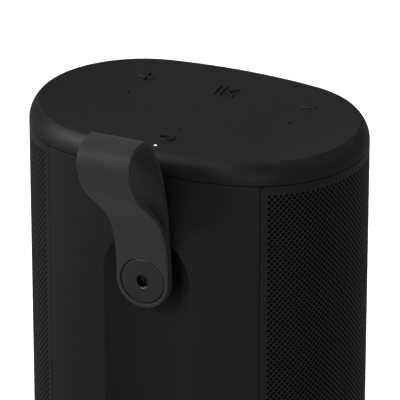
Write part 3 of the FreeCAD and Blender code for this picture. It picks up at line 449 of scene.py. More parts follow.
# near-black finish for the walls of the grille's holes and the mic holes: painted shade inside the holes
BORE_PAINTED_SHADE = material("bore_painted_shade_mat", (0.0030, 0.0030, 0.0030), 0.85, grain=0.01, grain_size=0.3, mottle=0.2, mottle_size=2.0, specular=0.1)
FOOT = material("foot_rubber_mat", (0.022, 0.022, 0.022), 0.75, grain=0.03, grain_size=0.6, mottle=0.1, mottle_size=5, specular=0.3)
PORT = material("port_steel_mat", (0.42, 0.42, 0.43), 0.28, metallic=1.0, grain=0.002, grain_size=0.2, mottle=0.05, mottle_size=1.5)


def cloth_material():
    """Black acoustic mesh: a fine plain weave of threads."""
    m = material("cloth_mat", (0.0035, 0.0035, 0.0035), 0.9, grain=0.01, grain_size=0.15, mottle=0.2, mottle_size=2.0, specular=0.08)
    t = m.node_tree
    where = t.nodes.new("ShaderNodeTexCoord")
    heights = []
    for direction in ("X", "Z"):
        w = t.nodes.new("ShaderNodeTexWave")
        w.wave_type = "BANDS"
        w.bands_direction = direction
        w.inputs["Scale"].default_value = 1000.0 / 0.42 / 6.283
        t.links.new(where.outputs["Object"], w.inputs["Vector"])
        heights.append(w.outputs["Fac"])
    mul = t.nodes.new("ShaderNodeMath")
    mul.operation = "MULTIPLY"
    t.links.new(heights[0], mul.inputs[0])
    t.links.new(heights[1], mul.inputs[1])
    bump = t.nodes.new("ShaderNodeBump")
    bump.inputs["Distance"].default_value = 0.12 * MM
    t.links.new(mul.outputs[0], bump.inputs["Height"])
    b = [n for n in t.nodes if n.type == "BSDF_PRINCIPLED"][0]
    t.links.new(bump.outputs["Normal"], b.inputs["Normal"])
    return m


CLOTH = cloth_material()

# CAD nodes that keep their own shape, each with a finish of its slot
KEPT = {
    "inner_plastic": material("inner_plastic_mat", (0.03, 0.03, 0.032), 0.5, grain=0.02, grain_size=0.5, mottle=0.1),
    "board": material("board_mat", (0.012, 0.05, 0.022), 0.35, grain=0.01, grain_size=1.2, mottle=0.25, mottle_size=3, coat=0.4),
    "steel": material("steel_mat", (0.5, 0.5, 0.5), 0.3, metallic=1.0, grain=0.003, grain_size=0.3, mottle=0.08, mottle_size=2),
    "magnet": material("magnet_mat", (0.07, 0.07, 0.075), 0.45, metallic=0.6, grain=0.02, grain_size=0.5, mottle=0.15, mottle_size=4),
    "cone_paper": material("cone_paper_mat", (0.03, 0.03, 0.03), 0.8, grain=0.03, grain_size=0.8, mottle=0.2, mottle_size=2.5),
    "roll_rubber": material("roll_rubber_mat", (0.014, 0.014, 0.014), 0.6, grain=0.01, grain_size=0.4, mottle=0.1),
    "copper": material("copper_mat", (0.7, 0.32, 0.16), 0.3, metallic=1.0, wave=("Z", 0.2, 0.05), mottle=0.1, mottle_size=2),
    "cell_wrap": material("cell_wrap_mat", (0.02, 0.12, 0.3), 0.35, grain=0.01, grain_size=2.0, mottle=0.06, mottle_size=8, coat=0.3),
    "heat_metal": material("heat_metal_mat", (0.6, 0.6, 0.62), 0.4, metallic=1.0, wave=("X", 0.4, 0.01), mottle=0.06, mottle_size=5),
    "chip": material("chip_mat", (0.012, 0.012, 0.013), 0.55, grain=0.01, grain_size=0.2, mottle=0.15, mottle_size=1.5),
    "insert_brass": material("insert_brass_mat", (0.7, 0.5, 0.2), 0.35, metallic=1.0, grain=0.004, grain_size=0.3, mottle=0.08, mottle_size=2),
    "cap_plastic": CAP, "key_plastic": KEY, "panel_plastic": PANEL, "grille_metal": GRILLE, "cloth": CLOTH, "strap_rubber": STRAP,
    "screw_metal": SCREW, "foot_rubber": FOOT, "light_pipe": LAMP,
}
for s in frame["record"]["subparts"]:
    name = s.get("name") or s.get("node")
    wanted = s.get("material") or s.get("material_slot")
    o = frame["nodes"].get(name)
    if o is not None:
        finish = KEPT.get(wanted, KEPT["inner_plastic"])
        if not o.data.materials:
            o.data.materials.append(finish)
        for slot in o.material_slots:
            slot.material = finish

# ------------------------------------------------------------------ key marks
RELIEF, W = 0.45, 0.85


def plus(x, y, lx, ly, w):
    a, b, h = lx / 2, ly / 2, w / 2
    return np.array([(h, -b), (h, -h), (a, -h), (a, h), (h, h), (h, b), (-h, b), (-h, h), (-a, h), (-a, -h), (-h, -h), (-h, -b)]) + (x, y)


def bar(x, y, lx, ly):
    return np.array([(lx / 2, -ly / 2), (lx / 2, ly / 2), (-lx / 2, ly / 2), (-lx / 2, -ly / 2)]) + (x, y)


def chevron(x, y, long, w, deg):
    c, s = math.cos(math.radians(deg)), math.sin(math.radians(deg))
    d1, d2, n1, n2 = np.array((c, s)), np.array((c, -s)), np.array((-s, c)), np.array((-s, -c))
    h = w / 2
    return np.array([(-h / s, 0), long * d2 + h * n2, long * d2 - h * n2, (h / s, 0), long * d1 - h * n1, long * d1 + h * n1]) + (x, y)


def bubble(x, y, rx, ry):
    """An oval with a short tail growing out of it."""
    tail_c, half, turn = np.array((0.95, -20.0)), 0.35, math.radians(65)
    d, n = np.array((math.cos(turn), math.sin(turn))), np.array((-math.sin(turn), math.cos(turn)))

    def leave(side):
        for t in np.linspace(-1.5, 0.7, 400):
            p = tail_c + side * half * n + t * d
            if ((p[0] - x) / rx) ** 2 + ((p[1] - y) / ry) ** 2 >= 1:
                return p
        return p

    right, left = leave(-1), leave(1)
    a_r = math.atan2((right[1] - y) / ry, (right[0] - x) / rx)
    a_l = math.atan2((left[1] - y) / ry, (left[0] - x) / rx)
    t = np.linspace(a_l + 0.04, a_r + 2 * PI - 0.04, 56)
    ring = np.c_[x + rx * np.cos(t), y + ry * np.sin(t)]
    tip = soften(np.array([right, tail_c - half * n + 0.75 * d, tail_c + half * n + 0.75 * d, left]), 0.12)
    return np.concatenate([ring, tip])


UP, DOWN, PLAY, VOICE = (-28.55, 19.55), (29.05, 19.35), (0.0, 20.2), (-0.25, -22.15)
OUTLINES = {
    "volume_up": [soften(plus(*UP, 5.6, 5.7, W), 0.12)],
    "volume_down": [soften(bar(*DOWN, 5.7, W), 0.16)],
    "play": [soften(bar(-3.25, 20.2, W, 6.0), 0.16), soften(bar(-1.25, 20.2, W, 6.0), 0.16), soften(chevron(0.253, 20.2, 4.06, W, 37.8), 0.12)],
    "voice": [bubble(*VOICE, 3.0, 2.25)],
}
MICS = [(-28.75, 7.35), (28.75, 7.35), (0.0, -12.4)]
LAMP_AT = (0.1, -30.9)
KEY_GAP = 0.07


def mark_piece(name, body, key_at):
    sh = Shell()
    b = 0.10
    for poly in OUTLINES[body]:
        rows = []
        for z0, grow in ((None, 0.0), (-b, 0.0), (-b * 0.3, -b * 0.35), (0.0, -b)):
            p = offset(poly, grow) if grow else poly
            z = np.full(len(p), 186.85) if z0 is None else dish_z(p[:, 0], p[:, 1]) + RELIEF + z0
            rows.append(sh.add(np.c_[p, z]))
        sh.rows(rows, True)
        top = offset(poly, -b)
        if body == "voice":
            t = np.linspace(0, 2 * PI, 57)[:-1]
            ring = np.c_[VOICE[0] + 2.3 * np.cos(t), VOICE[1] + 1.55 * np.sin(t)]
            outer_in = offset(ring, b)
            pts, tri = fill([top, outer_in])
            z = dish_z(pts[:, 0], pts[:, 1]) + RELIEF
            idx = sh.add(np.c_[pts, z])
            sh.faces(idx[tri])
            inner = []
            for zz, grow in ((0.0, b), (-b * 0.3, b * 0.35), (-b, 0.0), (-RELIEF - 0.02, 0.0)):
                p = offset(ring, grow) if grow else ring
                inner.append(sh.add(np.c_[p, dish_z(p[:, 0], p[:, 1]) + RELIEF + zz]))
            sh.rows(inner, True)
            pts, tri = fill([ring])
            idx = sh.add(np.c_[pts, dish_z(pts[:, 0], pts[:, 1]) - 0.02])
            sh.faces(idx[tri])
        else:
            pts, tri = fill([top])
            idx = sh.add(np.c_[pts, dish_z(pts[:, 0], pts[:, 1]) + RELIEF])
            sh.faces(idx[tri])
        pts, tri = fill([poly])
        idx = sh.add(np.c_[pts, np.full(len(pts), 186.85)])
        sh.faces(idx[tri])
    lathe_z(sh, [(0, 181.9), (1.35, 181.9), (1.5, 182.05), (1.5, 185.7), (4.25, 185.7), (4.4, 185.85), (4.4, 186.75), (4.25, 186.9), (0, 186.9)], *key_at)
    return sh.make(name, body, [KEY], [name.replace("_mark", "_key")])


for name, body, key_at in (("volume_up_mark", "volume_up", UP), ("volume_down_mark", "volume_down", DOWN), ("play_mark", "play", PLAY), ("voice_mark", "voice", VOICE)):
    mark_piece(name, body, key_at)


# ------------------------------------------------------------------ top cap
def top_cap():
    sh = Shell()
    n = 480
    phi = phi_at(np.arange(n) * ROUND / n)

    def ring(inset, z):
        x, y = oval(phi, inset)
        return sh.add(np.c_[x, y, np.full(n, z)])

    path = [(2.9, 187.0), (2.9, 172.35), (2.78, 172.2), (2.27, 172.2), (2.15, 172.35), (2.15, 184.94), (0.16, 184.94), (0.08, 184.955), (0.03, 184.99), (0.0, 185.08), (0.0, 185.65)]
    # the shoulder is one arc, and a small radius at its upper end makes the rim
    r_rim, lo, hi = 0.32, 0.3, 1.3
    for _ in range(60):
        lean = (lo + hi) / 2
        big = (6.35 - r_rim * (1 - math.sin(lean))) / math.sin(lean)
        if big * (1 - math.cos(lean)) + r_rim * math.cos(lean) < 2.92:
            lo = lean
        else:
            hi = lean
    for a in np.linspace(0, lean, 18)[1:]:
        path.append((big * (1 - math.cos(a)), 185.65 + big * math.sin(a)))
    x0, z0 = big * (1 - math.cos(lean)), 185.65 + big * math.sin(lean)
    for a in np.linspace(lean, PI / 2, 6)[1:]:
        path.append((x0 + r_rim * (math.cos(lean) - math.cos(a)), z0 + r_rim * (math.sin(a) - math.sin(lean))))
    rows = [ring(*p) for p in path]
    sh.rows(rows, True)
    crease = np.c_[oval(phi, 2.92)]
    holes = []
    for polys in OUTLINES.values():
        holes += [offset(p, KEY_GAP) for p in polys]
    holes += [circle(x, y, 0.5, 20) for x, y in MICS] + [circle(*LAMP_AT, 0.52, 20)]
    # a ring of points just outside each opening keeps its surroundings evenly shaded
    free = []
    for inset, m in ((3.1, 480), (3.3, 400), (3.55, 360), (3.85, 320), (4.3, 260), (5.0, 220), (6.0, 190), (7.2, 170), (8.6, 150), (10.2, 140), (12, 130), (14, 120),
                     (16.2, 110), (18.6, 100), (21.2, 90), (24, 80), (27, 70), (30.2, 60), (33.5, 48), (36.3, 36)):
        x, y = oval(phi_at((np.arange(m) + 0.5 * (m % 20 == 0)) * ROUND / m), inset)
        free.append(np.c_[x, y])
    x = np.linspace(-19.85, 19.85, 17)
    free.append(np.c_[x, 0 * x])
    free = np.concatenate(free)
    free = free + 0.0
    ok = np.ones(len(free), bool)
    for h in holes:
        ok &= ~inside(free, offset(h, 0.35) if len(h) > 24 else offset(h, 0.35))
        near = np.min(np.hypot(free[:, 0][:, None] - h[:, 0], free[:, 1][:, None] - h[:, 1]), axis=1)
        ok &= near > 0.4
    around = [offset(h, 0.3) for h in holes]
    pts, tri = fill([crease] + holes, np.concatenate([free[ok]] + around))
    idx = sh.add(np.c_[pts, dish_z(pts[:, 0], pts[:, 1])])
    sh.faces(idx[tri])
    start = n
    tops = []
    for h in holes:
        tops.append(idx[start:start + len(h)])
        start += len(h)
    ceiling = np.c_[oval(phi, 2.9)]
    pts, tri = fill([ceiling] + holes)
    low = sh.add(np.c_[pts, np.full(len(pts), 187.0)])
    sh.faces(low[tri])
    start = n
    for i, (h, a) in enumerate(zip(holes, tops)):
        b = low[start:start + len(h)]
        start += len(h)
        # the mic holes' walls take the near-black bore finish, which is painted shade inside them
        sh.strip(a, b, True, False, 1 if len(holes) - 4 <= i < len(holes) - 1 else 0)
    return sh.make("cap_shell", "speaker_body", [CAP, BORE_PAINTED_SHADE], ["top_cap"])


top_cap()

sh = Shell()
zl = float(dish_z(np.array(LAMP_AT[0]), np.array(LAMP_AT[1])))
lathe_z(sh, [(0, 181.0), (0.45, 181.0), (0.49, 181.05), (0.49, zl - 0.05), (0.46, zl - 0.01), (0.3, zl + 0.01), (0.15, zl + 0.015), (0, zl + 0.016)], *LAMP_AT, n=24)
sh.make("status_lamp", "speaker_body", [LAMP], ["status_light_pipe"])


# ------------------------------------------------------------------ grille: a sheet with real holes, in side-by-side pieces
def grille():
    thick, r_hole, k = 1.0, 0.47, 8
    s_edge = _S[1] + R_END * (LEAN - math.acos((37.0 - CX) / R_END))
    s_first = _S[1] + R_END * (LEAN - math.acos((39.35 - CX) / R_END))
    columns = 253
    ds = (ROUND - 2 * s_first) / (columns - 1)
    z_low, z_high, half = 11.4, 181.4, 1.0
    even = np.arange(z_low, z_high + 0.1, 2.0)
    odd = even[:-1] + 1.0
    ang = PI / 8 + np.arange(k) * 2 * PI / k - PI / 8
    cuts = [0, 42, 84, 126, 168, 210, 253]

    def place(p, depth):
        x, y = oval(phi_at(p[:, 0]), depth)
        return np.c_[x, y, p[:, 1]]

    for part in range(6):
        sh = Shell()
        c0, c1 = cuts[part], cuts[part + 1]
        table, flat_pts = {}, []

        def at(s, z):
            key = (round(s, 4), round(z, 4))
            if key not in table:
                table[key] = len(flat_pts)
                flat_pts.append((s, z))
            return table[key]

        tri = []
        rims = []
        for c in range(c0, c1):
            s = s_first + c * ds
            for z in (even if c % 2 == 0 else odd):
                corner = [at(s + ds, z), at(s, z + half), at(s - ds, z), at(s, z - half)]
                base = len(flat_pts)
                flat_pts += [(s + r_hole * math.cos(a), z + r_hole * math.sin(a)) for a in ang]
                rim = [base + i for i in range(k)]
                rims.append(rim)
                for q in range(4):
                    a, b = corner[q], corner[(q + 1) % 4]
                    o0, o1, o2 = rim[(2 * q) % k], rim[(2 * q + 1) % k], rim[(2 * q + 2) % k]
                    tri += [(a, b, o1), (a, o1, o0), (b, o2, o1)]
        # plain borders between the pattern's zigzag edges and the straight edges
        quads = []
        zt, zb = 183.2, 9.7
        first_c, last_c = c0 - 1, c1
        cols = list(range(c0 - 1, c1 + 1))
        tops = [(s_first + c * ds, (z_high + half) if c % 2 == 0 else z_high) for c in cols]
        lows = [(s_first + c * ds, (z_low - half) if c % 2 == 0 else z_low) for c in cols]
        if part > 0:
            tops, lows = tops[1:] if False else tops, lows
        line_top = [at(s, zt) for s, _ in tops]
        line_low = [at(s, zb) for s, _ in lows]
        ti = [at(*p) for p in tops]
        li = [at(*p) for p in lows]
        keep_from = 0 if part == 0 else 1
        keep_to = len(cols) if part == 5 else len(cols) - 1
        for i in range(len(cols) - 1):
            c_left = cols[i]
            # the strip between column c and c+1 belongs to the piece that owns column c+1, or the first piece
            owner = 0 if c_left < 0 else next(j for j in range(6) if cuts[j] <= min(c_left, 252) < cuts[j + 1])
            if owner != part:
                continue
            quads += [(ti[i], ti[i + 1], line_top[i + 1], line_top[i])]
            quads += [(line_low[i], line_low[i + 1], li[i + 1], li[i])]
        edges_side = []
        if part in (0, 5):
            sgn = -1 if part == 0 else 1
            s0 = s_first + (c0 if part == 0 else c1 - 1) * ds
            zig = []
            for z in even:
                zig.append((s0 + sgn * ds, z))
                zig.append((s0, z + half))
            zig = [(s0, z_low - half)] + zig
            s_line = s0 + sgn * (ds + 0.6)
            zi = [at(*p) for p in zig]
            zl_ = [at(s_line, p[1]) for p in zig]
            for i in range(len(zig) - 1):
                quads.append((zl_[i], zi[i], zi[i + 1], zl_[i + 1]) if part == 0 else (zi[i], zl_[i], zl_[i + 1], zi[i + 1]))
            # corners: extend the top and low lines out to s_line
            quads.append((zl_[-1], zi[-1], at(s0, zt), at(s_line, zt)) if part == 0 else (zi[-1], zl_[-1], at(s_line, zt), at(s0, zt)))
            quads.append((at(s_line, zb), at(s0, zb), zi[0], zl_[0]) if part == 0 else (at(s0, zb), at(s_line, zb), zl_[0], zi[0]))
            # drop the strip quads that reached past the end column
            bad = {at(s0 + sgn * ds, zt), at(s0 + sgn * ds, zb)}
            quads = [q for q in quads if not (set(q) & bad)]
        flat_np = np.array(flat_pts)
        tri, quads = np.array(tri), np.array(quads)
        front = sh.add(place(flat_np, 0.0))
        rear = sh.add(place(flat_np, thick))
        sh.faces(front[tri])
        sh.faces(rear[tri][:, ::-1], True)
        sh.faces(front[quads])
        sh.faces(rear[quads][:, ::-1], True)
        rims = np.array(rims)
        # the hole walls take the near-black bore finish, which is painted shade inside the holes
        for i in range(k):
            j = (i + 1) % k
            sh.faces(np.c_[front[rims[:, j]], front[rims[:, i]], rear[rims[:, i]], rear[rims[:, j]]], True, 1)
        # rounded top and bottom edges, and the upright end edges
        s_from = s_first + (c0 - 0) * ds if part else s_first - ds - 0.6
        s_to = s_first + c1 * ds if part < 5 else s_first + (columns - 1) * ds + ds + 0.6
        ss = [s_first + c * ds for c in range(c0, c1 + (1 if part < 5 else 0))]
        if part == 0:
            ss = [s_first - ds - 0.6] + ss
        if part == 5:
            ss = ss + [s_first + (columns - 1) * ds + ds + 0.6]
        ss = np.array(ss)

        def level(depth, z):
            return sh.add(place(np.c_[ss, np.full(len(ss), z)], depth))

        rows = [level(0, zt), level(0, 184.0), level(0, 184.60), level(0.02, 184.67), level(0.06, 184.705), level(0.12, 184.72), level(0.86, 184.72), level(0.94, 184.70), level(1.0, 184.62), level(1.0, zt)]
        sh.rows(rows)
        rows = [level(1.0, zb), level(1.0, 8.45), level(0.9, 8.33), level(0.78, 8.3), level(0.22, 8.3), level(0.1, 8.33), level(0.03, 8.41), level(0, 8.55), level(0, zb)]
        sh.rows(rows)
        if part in (0, 5):
            # the upright edge that meets the back panel
            s_in = ss[0] if part == 0 else ss[-1]
            s_out = s_edge if part == 0 else ROUND - s_edge
            sgn = 1 if part == 0 else -1
            zs = np.concatenate([[8.3], np.array([p[1] for p in ([(0, zb)] + zig + [(0, zt)])]), [WRAP_TOP]])
            zs = np.array(sorted(set(np.round(zs, 4))))

            def col(s, depth, z_in=0.0):
                z = np.clip(zs, 8.3 + z_in, WRAP_TOP - z_in)
                return sh.add(place(np.c_[np.full(len(zs), s), z], depth))

            cs = [col(s_in, 0), col(s_out + sgn * 0.1, 0), col(s_out + sgn * 0.04, 0.012), col(s_out + sgn * 0.012, 0.04), col(s_out, 0.1), col(s_out, thick), col(s_in, thick)]
            sh.rows(cs)
            for a in (0, -1):
                capf = [c[a] for c in cs]
                sh.faces(np.array([[capf[0], capf[i], capf[i + 1]] for i in range(1, len(capf) - 1)]), True)
        replaced = ["front_grille"] if part == 0 else []
        sh.make("grille_%d" % (part + 1), "speaker_body", [GRILLE, BORE_PAINTED_SHADE], replaced, weld=False, angle=None)


grille()


# ------------------------------------------------------------------ acoustic cloth behind the grille
def cloth():
    sh = Shell()
    s_edge = _S[1] + R_END * (LEAN - math.acos((37.75 - CX) / R_END))
    ss = np.linspace(s_edge, ROUND - s_edge, 240)
    zs = np.linspace(9.4, 183.5, 88)
    grid = []
    for depth in (1.12, 1.48):
        x, y = oval(phi_at(ss), depth)
        g = [sh.add(np.c_[x, y, np.full(len(ss), z)]) for z in zs]
        grid.append(g)
        sh.rows(g)
    sh.strip(grid[0][0], grid[1][0])
    sh.strip(grid[0][-1], grid[1][-1])
    for e in (0, -1):
        sh.strip(np.array([r[e] for r in grid[0]]), np.array([r[e] for r in grid[1]]))
    o = sh.make("acoustic_mesh", "speaker_body", [CLOTH], ["acoustic_cloth"])
    x, y = oval(phi_at(ss), 1.3)
    return o


cloth()


# ------------------------------------------------------------------ back panel with the groove for the strap
G_HALF, G_END, G_DEEP, G_TOP, G_LOW = 15.06, 16.52, 4.24, 148.16, 32.0


def panel_y(x):
    return CY - np.sqrt(R_SIDE ** 2 - x ** 2)


def back_y(s, z):
    """Y of the panel's outer surface at arc length s and height z, with x."""
    x, y = oval(phi_at(s))
    dz = np.where(z > G_TOP, z - G_TOP, np.where(z < G_LOW, G_LOW - z, 0.0))
    g = y + G_DEEP * (1 - ((x / G_HALF) ** 2 + (dz / G_END) ** 2) ** 1.25)
    k = 0.20
    h = np.maximum(k - np.abs(y - g), 0) / k
    return x, np.maximum(y, g) + h * h * k / 4


def back_panel():
    sh = Shell()
    s_half = _S[1] + R_END * (LEAN - math.acos((36.85 - CX) / R_END))
    # where the groove meets the panel
    xe = G_HALF

    def arch(x):
        return G_END * math.sqrt(max(1 - (x / G_HALF) ** 2, 0.0))

    def s_of(x):
        return R_SIDE * math.asin(x / R_SIDE)

    t = np.linspace(0, PI, 73)
    top = [(xe * math.cos(a), G_TOP + arch(xe * math.cos(a))) for a in t]
    low = [(-xe * math.cos(a), G_LOW - arch(xe * math.cos(a))) for a in t]
    zr = np.linspace(G_LOW, G_TOP, 59)
    line = [(xe, z) for z in zr[1:-1]] + top + [(-xe, z) for z in zr[1:-1][::-1]] + low
    line = np.array([(s_of(x), z) for x, z in line])
    keep = [line[0]]
    for p in line[1:]:
        if np.hypot(*(p - keep[-1])) > 0.05:
            keep.append(p)
    line = np.array(keep)
    rims = [offset(line, d) for d in (-1.6, -1.0, -0.62, -0.42, -0.26, -0.12, 0.0, 0.12, 0.26, 0.42, 0.62, 1.0, 1.7)]
    inner_rim, outer_rim = offset(line, -2.3), offset(line, 2.4)
    bev = 0.08
    # border
    zs = np.linspace(WRAP_LOW + bev, WRAP_TOP - bev, 89)
    xs = np.linspace(-s_half + bev, s_half - bev, 77)
    border = np.array([(x, zs[0]) for x in xs[:-1]] + [(xs[-1], z) for z in zs[:-1]] + [(x, zs[-1]) for x in xs[::-1][:-1]] + [(xs[0], z) for z in zs[::-1][:-1]])
    # openings: hub bore, two keys, charging port
    key_r, port_x, port_z = 4.62, 4.59, 1.75
    t = np.arange(12) / 12 * PI / 1
    slot = []
    for a in np.linspace(-PI / 2, PI / 2, 13):
        slot.append((port_x - port_z + port_z * math.cos(a), 33.0 + port_z * math.sin(a)))
    for a in np.linspace(PI / 2, 3 * PI / 2, 13):
        slot.append((-port_x + port_z + port_z * math.cos(a), 33.0 + port_z * math.sin(a)))
    openings = [circle(0, HUB_Z, 2.6, 32), circle(0, 65.0, key_r, 64), circle(0, 49.0, key_r, 64), np.array(slot)]
    grown = [offset(h, 0.16) for h in openings]
    free = []
    for k, x in enumerate(np.arange(-s_half + 1.6, s_half - 1.5, 1.45)):
        for z in np.arange(WRAP_LOW + 1.7, WRAP_TOP - 1.5, 2.1):
            free.append((x, z + (1.05 if k % 2 else 0)))
    free = np.array(free)
    inn, out = inside(free, inner_rim), ~inside(free, outer_rim)
    ok = (inn | out) & (free[:, 1] < WRAP_TOP - 1.0)
    for h in grown:
        ok &= ~inside(free, offset(h, 0.9))
    free = free[ok]
    near = [offset(h, 0.5) for h in grown] + [offset(h, 0.15) for h in grown]
    inner_row = offset(border, -0.8)
    pts, tri = fill([border] + grown, np.concatenate([free] + rims + near + [inner_row]))
    x, y = back_y(pts[:, 0], pts[:, 1])

    def normal(s, z, e=0.05):
        xa, ya = back_y(s - e, z)
        xb, yb = back_y(s + e, z)
        xc, yc = back_y(s, z - e)
        xd, yd = back_y(s, z + e)
        u = np.c_[xb - xa, yb - ya, 0 * z]
        v = np.c_[xd - xc, yd - yc, np.full(len(np.atleast_1d(z)), 2 * e)]
        n = np.cross(u, v)
        return n / np.linalg.norm(n, axis=1)[:, None]

    nrm = normal(pts[:, 0], pts[:, 1])
    front = np.c_[x, y, pts[:, 1]]
    rear = front - nrm * 2.0
    fi, ri = sh.add(front), sh.add(rear)
    # faces inside the groove take the darker recess finish, which is painted shade in the recess
    groove_painted_shade = inside(pts[tri].mean(1), line)
    sh.faces(fi[tri[~groove_painted_shade]])
    sh.faces(fi[tri[groove_painted_shade]], False, 1)
    sh.faces(ri[tri][:, ::-1])
    # rounded outer border down to the rear face
    m = len(border)
    b3, n3 = front[:m], nrm[:m]
    away = offset(border, bev)

    def lifted(q, drop):
        xx, yy = back_y(q[:, 0], q[:, 1])
        return np.c_[xx, yy, q[:, 1]] - normal(border[:, 0], border[:, 1]) * drop

    c1 = sh.add(lifted(offset(border, bev * 0.45), bev * 0.1))
    c2 = sh.add(lifted(offset(border, bev * 0.8), bev * 0.42))
    c3 = sh.add(lifted(away, bev))
    c4 = sh.add(lifted(away, 1.9))
    sh.rows([fi[:m], c1, c2, c3, c4, ri[:m]], True)
    start = m
    for h, g in zip(openings, grown):
        n = len(h)
        gi, gr = fi[start:start + n], ri[start:start + n]
        nn = nrm[start:start + n]
        xx, yy = back_y(offset(g, -0.05)[:, 0], g[:, 1])
        mid = offset(g, -0.11)
        xm, ym = back_y(mid[:, 0], mid[:, 1])
        xh, yh = back_y(h[:, 0], h[:, 1])
        r1 = sh.add(np.c_[xm, ym + 0.05, mid[:, 1]])
        r2 = sh.add(np.c_[xh, yh + 0.16, h[:, 1]])
        r3 = sh.add(np.c_[xh, yh + 1.9, h[:, 1]])
        sh.rows([gi, r1, r2, r3, gr], True)
        start += n
    return sh.make("back_shell", "speaker_body", [PANEL, RECESS_PAINTED_SHADE], ["back_panel"], angle=50)


back_panel()


# ------------------------------------------------------------------ rear keys and charging port
def rear_key(name, body, z, cad):
    sh = Shell()
    f = -34.2
    rows = [(0, f + 4.6), (5.5, f + 4.2), (5.6, f + 4.1), (5.6, f + 3.5), (5.5, f + 3.4), (4.5, f + 3.4), (4.5, f + 0.35), (4.44, f + 0.15), (4.3, f + 0.03), (4.1, f),
            (3.9, f + 0.015), (3.3, f + 0.06)]
    lathe_y(sh, rows, z, 64)
    # dished field with a raised mark
    field = circle(0, z, 3.3, 64)
    marks = []
    if body == "power":
        t = np.linspace(math.radians(125), math.radians(415), 40)
        marks.append(np.concatenate([np.c_[1.75 * np.cos(t), z + 1.75 * np.sin(t)], np.c_[1.30 * np.cos(t[::-1]), z + 1.30 * np.sin(t[::-1])]]))
        marks.append(soften(bar(0, z + 1.25, 0.45, 1.7), 0.1))
    else:
        for r in (2.0, 1.15):
            t = np.linspace(math.radians(35), math.radians(145), 22)
            w = 0.22
            marks.append(np.concatenate([np.c_[(r + w) * np.cos(t), z - 0.9 + (r + w) * np.sin(t)], np.c_[(r - w) * np.cos(t[::-1]), z - 0.9 + (r - w) * np.sin(t[::-1])]]))
        marks.append(circle(0, z - 0.9, 0.38, 20))
    marks = [m if np.cross(m[1] - m[0], m[2] - m[1]) != 0 else m for m in marks]
    fixed = []
    for m in marks:
        area = 0.5 * np.sum(m[:, 0] * np.roll(m[:, 1], -1) - np.roll(m[:, 0], -1) * m[:, 1])
        fixed.append(m if area > 0 else m[::-1])
    marks = fixed
    pts, tri = fill([field] + marks, np.concatenate([circle(0, z, r, 40) for r in (2.9, 2.5)]))
    fi = sh.add(np.c_[pts[:, 0], np.full(len(pts), f + 0.06), pts[:, 1]])
    sh.faces(fi[tri])
    start = len(field)
    for m in marks:
        n = len(m)
        base = fi[start:start + n]
        start += n
        up = sh.add(np.c_[m[:, 0], np.full(n, f - 0.06), m[:, 1]])
        small = offset(m, -0.07)
        tip = sh.add(np.c_[small[:, 0], np.full(n, f - 0.12), small[:, 1]])
        sh.rows([base, up, tip], True)
        p2, t2 = fill([small])
        k2 = sh.add(np.c_[p2[:, 0], np.full(len(p2), f - 0.12), p2[:, 1]])
        sh.faces(k2[t2])
    return sh.make(name, body, [KEY], [cad])


rear_key("power_button", "power", 65.0, "power_key")
rear_key("pairing_button", "pairing", 49.0, "pairing_key")


def port():
    def slot(hx, hz, y, n=13):
        a = np.linspace(-PI / 2, PI / 2, n)
        return np.concatenate([np.c_[hx - hz + hz * np.cos(a), np.full(n, y), 33.0 + hz * np.sin(a)], np.c_[-hx + hz - hz * np.cos(a), np.full(n, y), 33.0 - hz * np.sin(a)]])

    sh = Shell()
    f = -33.6
    levels = [(4.47, 1.63, f + 7.4), (4.47, 1.63, f + 0.15), (4.42, 1.58, f + 0.03), (4.32, 1.48, f), (4.22, 1.38, f + 0.03), (4.17, 1.33, f + 0.15), (4.17, 1.33, f + 6.8)]
    rows = [sh.add(slot(*p)) for p in levels]
    sh.rows(rows, True)
    for hx, hz, y in ((4.47, 1.63, f + 7.4), (4.17, 1.33, f + 6.8)):
        loop = slot(hx, hz, y)
        pts, tri = fill([loop[:, [0, 2]]])
        sh.faces(sh.add(np.c_[pts[:, 0], np.full(len(pts), y), pts[:, 1]])[tri])
    sh.make("port_shell", "speaker_body", [PORT], ["charge_port_shell"])
    sh = Shell()
    y0, y1, hx, hz, b = f + 1.1, f + 6.8, 3.3, 0.35, 0.12
    rect_ = soften(np.array([(hx, -hz), (hx, hz), (-hx, hz), (-hx, -hz)]), 0.14)
    rows = []
    for y, g in ((y1, 0), (y0 + b, 0), (y0 + b * 0.3, -b * 0.4), (y0, -b)):
        p = offset(rect_, g) if g else rect_
        rows.append(sh.add(np.c_[p[:, 0], np.full(len(p), y), 33.0 + p[:, 1]]))
    sh.rows(rows, True)
    for p, y in ((rect_, y1), (offset(rect_, -b), y0)):
        pts, tri = fill([p])
        sh.faces(sh.add(np.c_[pts[:, 0], np.full(len(pts), y), 33.0 + pts[:, 1]])[tri])
    # contact strips on both faces
    for k in range(12):
        x = -2.75 + 0.5 * k
        for side in (-1, 1):
            z = 33.0 + side * (hz + 0.015)
            w, h = 0.15, 0.03
            q = np.array([(x - w, y0 + 0.35), (x + w, y0 + 0.35), (x + w, y1 - 0.5), (x - w, y1 - 0.5)])
            a = sh.add(np.c_[q, np.full(4, 33.0 + side * (hz - 0.01))])
            c = sh.add(np.c_[q, np.full(4, 33.0 + side * (hz + h))])
            sh.strip(a, c, True, True, 1)
            sh.faces([list(c)], True, 1)
            sh.faces([list(a)], True, 1)
    sh.make("port_tongue", "speaker_body", [KEPT["chip"], KEPT["insert_brass"]], ["charge_port_tongue"])


port()


